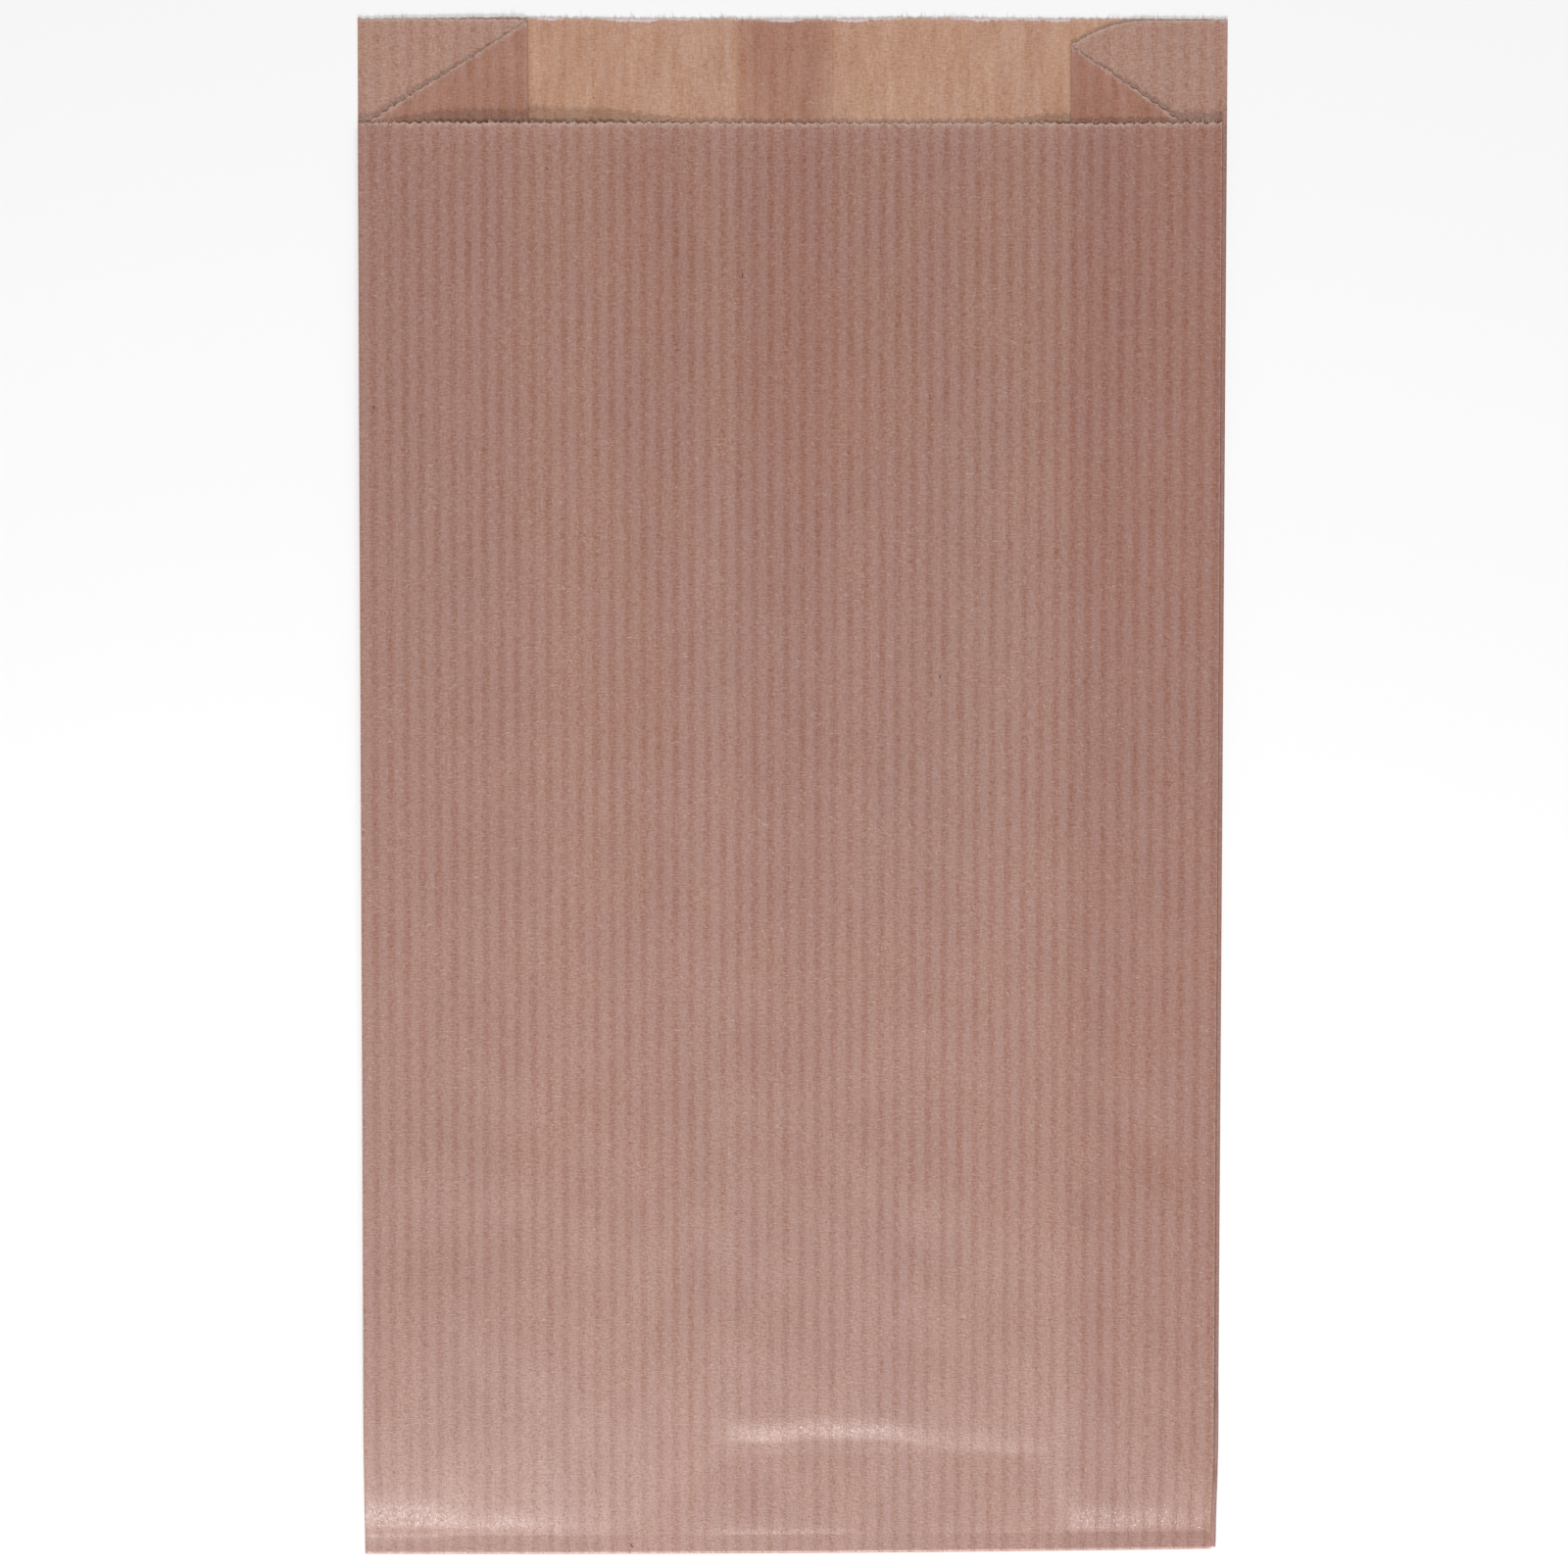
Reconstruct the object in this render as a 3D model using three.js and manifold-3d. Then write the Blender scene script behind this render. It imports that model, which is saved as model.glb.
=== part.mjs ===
// A flat brown paper bag with side gussets and a longer back panel, lying on its back as it comes off the
// pile. One web of paper is wrapped into a tube, lap-glued down the back, pleated inwards at both sides,
// cut to length with a stepped, toothed cut, and closed by folding its lower end under the back panel and
// gluing it there. Millimetres. X runs across the bag, Y from the bottom fold to the mouth, and Z up from
// the table it lies on.

import * as THREE from "three";
import { mergeVertices } from "three/addons/utils/BufferGeometryUtils.js";
import Module from "manifold-3d";

// The bag, laid flat
const bagWidth = 140; // across the back panel, fold to fold
const frontInset = 0.8; // the front panel's right-hand fold lies this far in from the back panel's
const bagLength = 250; // from the bottom fold to the back panel's cut edge
const lipLength = 16.8; // how far the back panel stands past the front panel at the mouth
const gussetLeft = 27.4; // how far the left gusset's crease lies in from the side fold
const gussetRight = 25.2;

// The paper
const paper = 0.08; // thickness of the sheet
const foldGap = 0.06; // air between two plies that are creased together

// The lap seam down the back
const seamWidth = 15.3; // overlap of the web's two edges
const seamOffset = -1.25; // the seam's centre line from the bag's
const seamRamp = 2; // over this width the inner edge climbs onto the outer one

// The stepped cut, from the front panel's level round each gusset to the back panel's level. start and
// straight are lengths along the web from the front panel's side fold: it is level as far as start, then
// climbs straight at slope, its rise over run.
const leftCut = { start: 1.7, straight: 24.5, slope: 0.643, gusset: gussetLeft };
const rightCut = { start: 6.3, straight: 18.1, slope: 0.69, gusset: gussetRight - frontInset };
const toothPitch = 1.5;
const toothDepth = 0.4;

// The bottom fold
const stubLength = 5.4; // how much of every ply is folded under
const foldSkew = THREE.MathUtils.degToRad(0.33); // the fold isn't quite square to the bag
const glueInset = 4; // from the edges of the flap to the glue that holds it
const glueStart = 1; // from where the back panel has settled on the flap to the glue
const settleRun = 3.5; // over this length the back panel comes down off an edge under it
const settleAcross = 8; // and over this width, beside a gusset

// How far the bag stands open. Heights are the front panel's over the table; a run is a length along the bag.
const pressedStrip = 2.75; // from the bottom fold, the strip pressed flat, up to a crease across the front
const bodyHeight = 2.3; // along the middle of the bag
const bodyRun = 14; // the middle rises to most of that over this run past the pressed strip
const sideRoll = 0.34; // how far the front's side folds roll up just past the pressed strip
const sideRollRun = 4;
const sidePocket = 0.4; // how far they stand up more, further on
const sidePocketRun = 18;
const mouthPocket = 0.25; // and once more towards the mouth
const mouthHeight = 0.9; // in the middle of the front's cut
const mouthRun = 60; // over this run the front panel settles towards the mouth
const mouthBulge = 1.3; // how much higher the front's cut stands at the left gusset
const bulgeRise = 12; // width over which it rises from the left side fold
const bulgePast = 4.6; // how far past the left gusset's crease it keeps its height
const bulgeFall = 25; // width over which it then falls
const creaseStand = 0.15; // how far a gusset's crease stands up at the mouth, over a pressed stack's
const spanEnd = 90; // up to here the front panel is held up by the flap and the folded plies under the bag
const crownPower = 3; // how square-shouldered the front panel's crown is

// How finely the curved stretches of the sheet are divided
const creaseSteps = 4;
const backSteps = 4;
const gussetSteps = 3;
const frontSteps = 14;
const flapSteps = 3;
const bendSteps = 6;
const stackSteps = 3;
const spanSteps = 3;
const upperSteps = 6;
const edgeBand = 1.2; // width of the strip along a cut edge that takes the teeth

const ply = paper + foldGap; // from one ply to the next in the pressed stack
const stackHeight = 4 * paper + 3 * foldGap; // front, two gusset plies and back
const creaseRadius = paper + foldGap / 2; // outside radius of a side fold
const bendRadius = stackHeight + foldGap / 2; // outside radius of the bottom fold
const bendRun = Math.PI * bendRadius; // length of web that goes round the bottom fold
const flapLength = stubLength + lipLength; // the front panel's ply, folded under the back
const leftFold = -bagWidth / 2;
const rightFold = bagWidth / 2;
const frontRightFold = rightFold - frontInset;
const leftCrease = leftFold + gussetLeft;
const rightCrease = rightFold - gussetRight;
const seamLeft = seamOffset - seamWidth / 2;
const seamRight = seamOffset + seamWidth / 2;
const mouthAt = bagLength - bendRadius - lipLength; // the front panel's cut, from the bottom fold's axis

const { lerp, smoothstep } = THREE.MathUtils;

// The heights of the plies' mid-planes. A place along the bag is n, its distance from the bottom fold's axis.

const pressedHeight = paper / 2 + 3 * ply; // the front panel's, where all four plies are pressed together

// 0 on the pressed strip, then up to 1 at a falling rate.
function opened(n, run) {
  return 1 - Math.exp(-Math.max(0, n - pressedStrip) / run);
}

// 0 in the body, then up to 1 at the front panel's cut.
function settled(n) {
  return smoothstep(n, mouthAt - mouthRun, mouthAt);
}

// The front panel doesn't follow each step of lift(), as the plies under it do: it spans them.
function span(x, n) {
  return (stackHeight + foldGap) * (1 - smoothstep(n, pressedStrip, spanEnd)) - lift(x, n);
}

function frontEdgeHeight(x, n) {
  const pocket = sideRoll * opened(n, sideRollRun) + sidePocket * opened(n, sidePocketRun);
  return pressedHeight + pocket + mouthPocket * settled(n) + span(x, n);
}

function mouthLevel(x) {
  const rise = smoothstep(x, leftFold, leftFold + bulgeRise);
  const fall = smoothstep(x, leftCrease + bulgePast, leftCrease + bulgePast + bulgeFall);
  return mouthHeight + mouthBulge * rise * (1 - fall);
}

function frontHeight(x, n) {
  const edge = frontEdgeHeight(x, n);
  const open = lerp(bodyHeight, mouthLevel(x), settled(n)) + span(x, n);
  const middle = lerp(pressedHeight + span(x, n), open, opened(n, bodyRun));
  const halfWidth = (frontRightFold - leftFold) / 2;
  const across = Math.abs(x - (leftFold + frontRightFold) / 2) / halfWidth;
  return lerp(middle, edge, Math.min(1, across) ** crownPower);
}

// A gusset's crease lies midway between front and back, and sinks towards the table at the mouth.
function creaseHeight(crease, n) {
  const midway = (frontHeight(crease, n) + paper / 2) / 2;
  return lerp(midway, (pressedHeight + paper / 2) / 2 + creaseStand, settled(n));
}

function backHeight() {
  return paper / 2;
}

function gussetBackHeight(fold, crease) {
  return (x, n) => lerp(paper / 2 + ply, creaseHeight(crease, n) - ply / 2, (x - fold) / (crease - fold));
}

function gussetFrontHeight(fold, crease) {
  return (x, n) => {
    const across = (x - fold) / (crease - fold);
    return lerp(frontEdgeHeight(fold, n) - ply, creaseHeight(crease, n) + ply / 2, across);
  };
}

// The tube's cross-section is a closed ring of stations, walked from the seam to the left along the back,
// in and out of the left gusset, across the front, in and out of the right gusset, and back to the seam.
// Each station gives the paper's outside and inside surface as [x, z] at n, and its place along the web.

const stations = [];
let webLength = 0;

function addStation(run, outside, inside) {
  webLength += run;
  stations.push({ web: webLength, outside, inside });
}

// A flat or gently curved panel. outward is 1 where the paper's outside faces up.
function addPanel(fromX, toX, steps, height, outward) {
  const side = (x, sign) => (n) => [x, height(x, n) + (sign * outward * paper) / 2];
  for (let i = 1; i < steps; i++) {
    const x = lerp(fromX, toX, i / steps);
    addStation(Math.abs(toX - fromX) / steps, side(x, 1), side(x, -1));
  }
  webLength += Math.abs(toX - fromX) / steps;
}

// A crease between two plies. tip is its outermost x, facing is 1 if it points right, rising is 1 if the
// web goes up round it, and outsideOut says whether the paper's outside is on the convex side.
function addCrease(tip, facing, rising, middle, outsideOut) {
  const arc = (radius, angle) => (n) => [
    tip + facing * (radius * Math.cos(angle) - creaseRadius),
    middle(n) + radius * Math.sin(angle),
  ];
  const radii = outsideOut ? [creaseRadius, foldGap / 2] : [foldGap / 2, creaseRadius];
  for (let i = 0; i <= creaseSteps; i++) {
    const angle = rising * lerp(-Math.PI / 2, Math.PI / 2, i / creaseSteps);
    const run = i ? (Math.PI * ply) / 2 / creaseSteps : 0;
    addStation(run, arc(radii[0], angle), arc(radii[1], angle));
  }
}

function fixed(x, z) {
  return () => [x, z];
}

const lapStep = 0.2; // between the two stations that make a cut edge of the lap, on its flat side
const inLeft = leftFold + creaseRadius;
const inRight = rightFold - creaseRadius;
const inFrontRight = frontRightFold - creaseRadius;
const inLeftCrease = leftCrease - creaseRadius;
const inRightCrease = rightCrease + creaseRadius;

function addLapAndBackLeft() {
  addStation(0, fixed(seamLeft, paper), fixed(seamLeft - lapStep, 2 * paper));
  addStation(seamRamp, fixed(seamLeft - seamRamp, 0), fixed(seamLeft - seamRamp, paper));
  addPanel(seamLeft - seamRamp, inLeft, backSteps, backHeight, -1);
}

function addLeftGusset() {
  addCrease(leftFold, -1, 1, () => paper / 2 + ply / 2, true);
  addPanel(inLeft, inLeftCrease, gussetSteps, gussetBackHeight(inLeft, inLeftCrease), 1);
  addCrease(leftCrease, 1, 1, (n) => creaseHeight(inLeftCrease, n), false);
  addPanel(inLeftCrease, inLeft, gussetSteps, gussetFrontHeight(inLeft, inLeftCrease), -1);
  addCrease(leftFold, -1, 1, (n) => frontEdgeHeight(leftFold, n) - ply / 2, true);
}

function addRightGusset() {
  addCrease(frontRightFold, 1, -1, (n) => frontEdgeHeight(frontRightFold, n) - ply / 2, true);
  addPanel(inFrontRight, inRightCrease, gussetSteps, gussetFrontHeight(inFrontRight, inRightCrease), -1);
  addCrease(rightCrease, -1, -1, (n) => creaseHeight(inRightCrease, n), false);
  addPanel(inRightCrease, inRight, gussetSteps, gussetBackHeight(inRight, inRightCrease), 1);
  addCrease(rightFold, 1, -1, () => paper / 2 + ply / 2, true);
}

function addBackRightAndLap() {
  addPanel(inRight, seamRight + lapStep, backSteps, backHeight, -1);
  addStation(0, fixed(seamRight + lapStep, 0), fixed(seamRight, paper));
  addStation(lapStep, fixed(seamRight, 0), fixed(seamRight, 2 * paper));
  addStation(seamWidth, fixed(seamLeft, 0), fixed(seamLeft, 2 * paper));
}

addLapAndBackLeft();
addLeftGusset();
const frontFrom = webLength;
addPanel(inLeft, inFrontRight, frontSteps, frontHeight, 1);
const frontTo = webLength;
addRightGusset();
addBackRightAndLap();

// The stepped cut's rise above the front panel's level, by the run along the web from the front panel's
// side fold: level, then a straight slope, then a parabola that ends level.
function riseAt(cut, run) {
  const onSlope = THREE.MathUtils.clamp(run - cut.start, 0, cut.straight);
  const rise = Math.min(lipLength, cut.slope * onSlope);
  const rest = lipLength - cut.slope * cut.straight;
  if (run <= cut.start + cut.straight || rest <= 0) return rise;
  const easing = (2 * rest) / cut.slope;
  return lipLength - rest * Math.max(0, 1 - (run - cut.start - cut.straight) / easing) ** 2;
}

function cutRise(web) {
  if (web < frontFrom) return riseAt(leftCut, frontFrom - web);
  return riseAt(rightCut, web - frontTo);
}

// How far below the back panel's level the cut still is where it crosses a gusset's crease.
function creaseDrop(cut) {
  return lipLength - riseAt(cut, cut.gusset);
}

function toothWave(web) {
  const phase = web / toothPitch - Math.floor(web / toothPitch);
  return toothDepth * (Math.abs(2 * phase - 1) - 0.5);
}

// The bottom fold. A point of the straight tube is x across, v along and z up; its n decides whether it
// stays in the body, goes round the fold, or lies in the flap underneath.

const sinSkew = Math.sin(foldSkew);
const cosSkew = Math.cos(foldSkew);
const skewReach = (bagWidth / 2) * sinSkew; // how much further the skew takes the flap at one side
const flapReach = flapLength + skewReach;
const stackReach = stubLength + skewReach + Math.max(...[leftCut, rightCut].map(creaseDrop));

// How far the body is held up: by the folded stack, then by the flap, which has two plies at the gussets
// and one between them, then by nothing.
function lift(x, n) {
  const atLeftGusset = 1 - smoothstep(x, leftCrease, leftCrease + settleAcross);
  const atRightGusset = smoothstep(x, rightCrease - settleAcross, rightCrease);
  const onFlap = ply * (1 + Math.max(atLeftGusset, atRightGusset));
  const offStack = smoothstep(n, stackReach, stackReach + settleRun);
  const offFlap = smoothstep(n, flapReach, flapReach + settleRun);
  return lerp(lerp(stackHeight + foldGap, onFlap, offStack), 0, offFlap);
}

function folded(x, v, z) {
  const m = x * cosSkew + v * sinSkew;
  const n = v * cosSkew - x * sinSkew;
  if (n >= 0) return [x, v, z + lift(x, n)];
  const radius = z + foldGap / 2;
  const angle = Math.min(Math.PI, -n / bendRadius);
  const past = Math.max(0, -n - bendRun);
  const across = past - radius * Math.sin(angle);
  const height = stackHeight + foldGap / 2 + radius * Math.cos(angle);
  return [m * cosSkew - across * sinSkew, m * sinSkew + across * cosSkew, height];
}

function surfacePoint(station, side, v) {
  const x = station[side](0)[0];
  const n = v * cosSkew - x * sinSkew;
  return station[side](Math.max(0, n));
}

// Places after one n and up to another, evenly spaced.
function evenly(from, to, steps) {
  return Array.from({ length: steps }, (_, i) => lerp(from, to, (i + 1) / steps));
}

// The rows of the body, as n, as far as the last one before the row along the mouth's edge.
const bodyRows = [
  pressedStrip,
  ...evenly(pressedStrip, stackReach, stackSteps),
  stackReach + settleRun,
  flapReach,
  flapReach + settleRun,
  ...evenly(flapReach + settleRun, spanEnd, spanSteps),
  ...evenly(spanEnd, mouthAt, upperSteps).slice(0, -1),
];

function rowsOf(station) {
  const x = station.outside(0)[0];
  const atN = (n) => (n + x * sinSkew) / cosSkew;
  const rise = cutRise(station.web);
  const bottomCut = -bendRun - flapLength + rise;
  const topCut = mouthAt + rise;
  const flap = evenly(bottomCut + edgeBand, atN(-bendRun), flapSteps);
  const bend = evenly(-bendRun, 0, bendSteps).map(atN);
  return [bottomCut + edgeBand, ...flap, ...bend, ...bodyRows.map(atN), topCut - edgeBand];
}

// One surface of the paper and its two toothed edges, as vertices in the order the triangles name them.
class Sheet {
  constructor() {
    this.points = [];
    this.triangles = [];
  }

  add(x, v, z) {
    this.points.push(folded(x, v, z));
    return this.points.length - 1;
  }

  quad(a, b, c, d) {
    this.triangles.push([a, b, c], [a, c, d]);
  }
}

const sheet = new Sheet();
const ring = stations.map((s, i) => [s, stations[(i + 1) % stations.length]]);

function gridOf(side) {
  return stations.map((s) =>
    rowsOf(s).map((v) => {
      const [x, z] = surfacePoint(s, side, v);
      return sheet.add(x, v, z);
    })
  );
}

// The places along the web between two stations where the cut turns.
function toothTurns(from, to) {
  const half = toothPitch / 2;
  const clear = toothPitch / 8;
  const turns = [];
  for (let k = Math.ceil(from / half); k * half < to; k++) {
    if (k * half > from + clear && k * half < to - clear) turns.push(k * half);
  }
  return turns;
}

// The toothed edge of one surface at cut level base: for each stretch between stations, its vertices in
// order.
function edgeOf(side, base) {
  const vAt = (web) => base + cutRise(web) + toothWave(web);
  const corners = stations.map((s) => {
    const [x, z] = surfacePoint(s, side, vAt(s.web));
    return sheet.add(x, vAt(s.web), z);
  });
  return ring.map(([a, b], i) => {
    const between = toothTurns(a.web, b.web).map((web) => {
      const v = vAt(web);
      const share = (web - a.web) / (b.web - a.web);
      const [ax, az] = surfacePoint(a, side, v);
      const [bx, bz] = surfacePoint(b, side, v);
      return sheet.add(lerp(ax, bx, share), v, lerp(az, bz, share));
    });
    return [corners[i], ...between, corners[(i + 1) % corners.length]];
  });
}

// Triangles between the straight stretch a-b of the last row and the edge's vertices above it.
function zip(a, b, edge, flip) {
  const middle = Math.floor((edge.length - 1) / 2);
  const put = (p, q, r) => sheet.triangles.push(flip ? [p, r, q] : [p, q, r]);
  for (let k = 0; k < middle; k++) put(a, edge[k + 1], edge[k]);
  put(a, b, edge[middle]);
  for (let k = middle; k < edge.length - 1; k++) put(b, edge[k + 1], edge[k]);
}

function buildSheet() {
  const bottomBase = -bendRun - flapLength;
  const surfaces = ["outside", "inside"].map((side) => ({
    grid: gridOf(side),
    top: edgeOf(side, mouthAt),
    bottom: edgeOf(side, bottomBase),
  }));
  surfaces.forEach(({ grid, top, bottom }, inner) => {
    grid.forEach((column, i) => {
      const next = grid[(i + 1) % grid.length];
      for (let j = 0; j < column.length - 1; j++) {
        if (inner) sheet.quad(column[j], column[j + 1], next[j + 1], next[j]);
        else sheet.quad(column[j], next[j], next[j + 1], column[j + 1]);
      }
      const last = column.length - 1;
      zip(column[last], next[last], top[i], inner === 1);
      zip(column[0], next[0], bottom[i], inner === 0);
    });
  });
  const [outer, inner] = surfaces;
  outer.top.forEach((edge, i) => {
    for (let k = 0; k < edge.length - 1; k++) {
      sheet.quad(edge[k], edge[k + 1], inner.top[i][k + 1], inner.top[i][k]);
    }
  });
  outer.bottom.forEach((edge, i) => {
    for (let k = 0; k < edge.length - 1; k++) {
      sheet.quad(edge[k], inner.bottom[i][k], inner.bottom[i][k + 1], edge[k + 1]);
    }
  });
}

buildSheet();

const wasm = await Module();
wasm.setup();

function solidFrom(positions, indices) {
  const mesh = new wasm.Mesh({
    numProp: 3,
    vertProperties: new Float32Array(positions),
    triVerts: new Uint32Array(indices),
  });
  return new wasm.Manifold(mesh);
}

// The glue between the flap and the back panel, let half a paper's thickness into both so that they join.
function glueSolid() {
  const from = stackReach + settleRun + glueStart;
  const to = flapLength - glueInset;
  const left = leftCrease + settleAcross + glueInset;
  const right = rightCrease - settleAcross - glueInset;
  const box = new THREE.BoxGeometry(right - left, to - from, ply);
  box.deleteAttribute("normal");
  box.deleteAttribute("uv");
  box.translate((left + right) / 2, (from + to) / 2, paper / 2 + ply / 2);
  box.rotateZ(foldSkew);
  const merged = mergeByPosition(box);
  return solidFrom(merged.attributes.position.array, merged.index.array);
}

function mergeByPosition(geometry) {
  return mergeVertices(geometry, paper / 100);
}

function geometryFrom(solid) {
  const mesh = solid.getMesh();
  const position = new Float32Array(mesh.numVert * 3);
  for (let i = 0; i < mesh.numVert; i++) {
    position.set(mesh.vertProperties.subarray(i * mesh.numProp, i * mesh.numProp + 3), i * 3);
  }
  const geometry = new THREE.BufferGeometry();
  geometry.setAttribute("position", new THREE.BufferAttribute(position, 3));
  geometry.setIndex(new THREE.BufferAttribute(mesh.triVerts, 1));
  geometry.computeVertexNormals();
  return geometry;
}

const bagSolid = solidFrom(sheet.points.flat(), sheet.triangles.flat()).add(glueSolid());
const geometry = geometryFrom(bagSolid);

// The origin is under the middle of the bag, on the table.
geometry.computeBoundingBox();
const centre = geometry.boundingBox.getCenter(new THREE.Vector3());
geometry.translate(-centre.x, -centre.y, -geometry.boundingBox.min.z);

const brownPaper = new THREE.MeshStandardMaterial({ color: 0xa67e6e, roughness: 0.55, metalness: 0 });
const paperBag = new THREE.Mesh(geometry, brownPaper);
paperBag.name = "paper_bag";

const bag = new THREE.Group();
bag.add(paperBag);

export default bag;
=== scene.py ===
import math
import random

import bpy
import numpy as np
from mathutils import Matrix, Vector


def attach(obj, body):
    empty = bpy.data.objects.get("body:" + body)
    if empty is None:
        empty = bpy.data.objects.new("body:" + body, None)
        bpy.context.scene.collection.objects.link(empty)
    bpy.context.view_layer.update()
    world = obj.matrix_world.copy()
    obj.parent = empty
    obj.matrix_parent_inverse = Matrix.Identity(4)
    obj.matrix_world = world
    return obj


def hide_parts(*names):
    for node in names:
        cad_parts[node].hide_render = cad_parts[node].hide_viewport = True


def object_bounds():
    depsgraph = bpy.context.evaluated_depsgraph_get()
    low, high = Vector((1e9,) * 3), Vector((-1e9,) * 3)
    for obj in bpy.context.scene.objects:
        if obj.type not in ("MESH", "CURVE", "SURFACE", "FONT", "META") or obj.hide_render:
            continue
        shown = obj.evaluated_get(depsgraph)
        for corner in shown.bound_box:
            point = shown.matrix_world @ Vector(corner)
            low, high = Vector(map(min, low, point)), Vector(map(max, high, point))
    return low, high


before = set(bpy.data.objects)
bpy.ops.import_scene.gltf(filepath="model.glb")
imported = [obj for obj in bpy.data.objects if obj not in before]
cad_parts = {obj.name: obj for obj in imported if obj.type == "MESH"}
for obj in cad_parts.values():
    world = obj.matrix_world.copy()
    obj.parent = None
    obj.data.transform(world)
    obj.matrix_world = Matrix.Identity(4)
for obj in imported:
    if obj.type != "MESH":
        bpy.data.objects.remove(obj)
cad_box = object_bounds()

# The bag in millimetres, in the row's frame: X across, Y from the bottom fold to the mouth, Z up from
# the table. A pair of values is a range that smooth() runs over, or a bell's centre and half-width.
MM = 0.001
BAG_WIDTH = 140.0
FRONT_INSET = 0.8
BAG_LENGTH = 250.0
LIP = 16.8
GUSSET_LEFT = 27.4
GUSSET_RIGHT = 25.2
PAPER = 0.08
FOLD_GAP = 0.06
SEAM_LEFT = -8.9
SEAM_RIGHT = 6.4
SEAM_RAMP = 2.0
STUB = 5.4
SKEW = math.radians(0.33)
PRESSED_STRIP = 2.75
# How far past the turned-under plies' ends the plies on them need to settle
STACK_BEYOND = 4.3
SETTLE = 3.5
SETTLE_ACROSS = 8.0
RIB_PITCH = 2.57

# The stepped cut: level to start, a straight slope, then a parabola that ends level with the back panel.
LEFT_CUT = {"start": 1.7, "straight": 24.5, "slope": 0.643}
RIGHT_CUT = {"start": 6.3, "straight": 18.1, "slope": 0.69}

# Its teeth: mean pitch and depth, how far both vary, and the fray between the teeth's points.
TOOTH_PITCH = 1.5
TOOTH_DEPTH = 0.42
TOOTH_PITCH_VARIES = (0.72, 1.28)
TOOTH_DEPTH_VARIES = (0.45, 1.35)
TOOTH_FRAY = 0.045
EDGE_STEP = 0.3

# Measures that follow from those above
PLY = PAPER + FOLD_GAP
STACK = 4 * PAPER + 3 * FOLD_GAP
CREASE_R = PAPER + FOLD_GAP / 2
BEND_R = STACK + FOLD_GAP / 2
BEND_RUN = math.pi * BEND_R
FLAP = STUB + LIP
LEFT = -BAG_WIDTH / 2
RIGHT = BAG_WIDTH / 2
FRONT_RIGHT = RIGHT - FRONT_INSET
CREASE_LEFT = LEFT + GUSSET_LEFT
CREASE_RIGHT = RIGHT - GUSSET_RIGHT
MOUTH_AT = BAG_LENGTH - BEND_R - LIP
SIN, COS = math.sin(SKEW), math.cos(SKEW)
SKEW_REACH = RIGHT * SIN
FLAP_REACH = FLAP + SKEW_REACH
STACK_REACH = STUB + SKEW_REACH + STACK_BEYOND
PRESSED_HEIGHT = PAPER / 2 + 3 * PLY

# How far the front stands off the back: over the body, along the side folds and at the mouth
BODY_HEIGHT = 1.35
BODY_RUN = 30.0
HELD_DOWN = 13.0
HELD_ACROSS = ((CREASE_LEFT + 10, SEAM_LEFT + 2), (CREASE_RIGHT - 8, CREASE_RIGHT + 4))
SPAN_END = 90.0
CROWN_POWER = 3.0
SIDE_ROLL = 0.34
SIDE_ROLL_RUN = 4.0
SIDE_POCKET = 0.40
SIDE_POCKET_RUN = 18.0
CREASE_STAND = 0.15
MOUTH_SINK_LEFT = 0.36
MOUTH_SINK_RIGHT = 0.25
MOUTH_RUN = 60.0
MOUTH_HEIGHT = 0.14
MOUTH_LEFT = 1.55
MOUTH_LEFT_AT = (-53, 15)
MOUTH_BESIDE = 0.55
MOUTH_BESIDE_AT = (-30, 9.5)
MOUTH_RIGHT = 0.75
MOUTH_RIGHT_AT = (33, 54)
MOUTH_OFF_SEAM = 6
MOUTH_CURL = 0.16
MOUTH_CURL_RUN = 3.6
LIP_LIFT = 0.015

# Where the four plies at each gusset spring up past the pressed strip, as a slope and a width
SHOULDER_LEFT = 0.052
SHOULDER_RIGHT = 0.080
SHOULDER_WIDE = 11.0
SHOULDER_NARROW = 4.2
SHOULDER_WIDE_RIGHT = 7.0
SHOULDER_WANDER = 0.7
SHOULDER_OFF_LEFT = (CREASE_LEFT + 3, CREASE_LEFT + 24)
SHOULDER_ON_RIGHT = (CREASE_RIGHT - 3, CREASE_RIGHT + 2)
SHOULDER_NARROWS = (LEFT + 8, CREASE_LEFT + 10)
SHOULDER_FADES = (10, 70)

# The low crests past the pressed strip, where the paste ends, and the left half's broad swell
LEFT_CREST = 0.05
LEFT_CREST_RISES = (1.9, 2.8)
LEFT_CREST_ENDS = (LEFT + 9, LEFT + 15)
CREST = 0.055
CREST_RUN = 0.8
CREST_FADES = (4, 25)
CREST_MIDDLE = ((-16, -9), (6, 13))
CREST_RIGHT = ((20, 28), (38, 44))
CREST_RIGHT_SHARE = 0.4
SWELL = 0.30
SWELL_ENDS = (-24, -8)
SWELL_ALONG = ((2, 24), (40, 140))

# The ridge where the front climbs off the pasted flap's end
RIDGE = 0.19
RIDGE_WIDTH = 4.2
RIDGE_AT = 18.1
RIDGE_BACK = 2.9
RIDGE_TURNS = (12, 44)
RIDGE_STARTS = (-13, -8)
RIDGE_LOWER = (14, 26)
RIDGE_ENDS = (40, 44.5)
RIDGE_FALLS = (2.0, 26)

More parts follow.
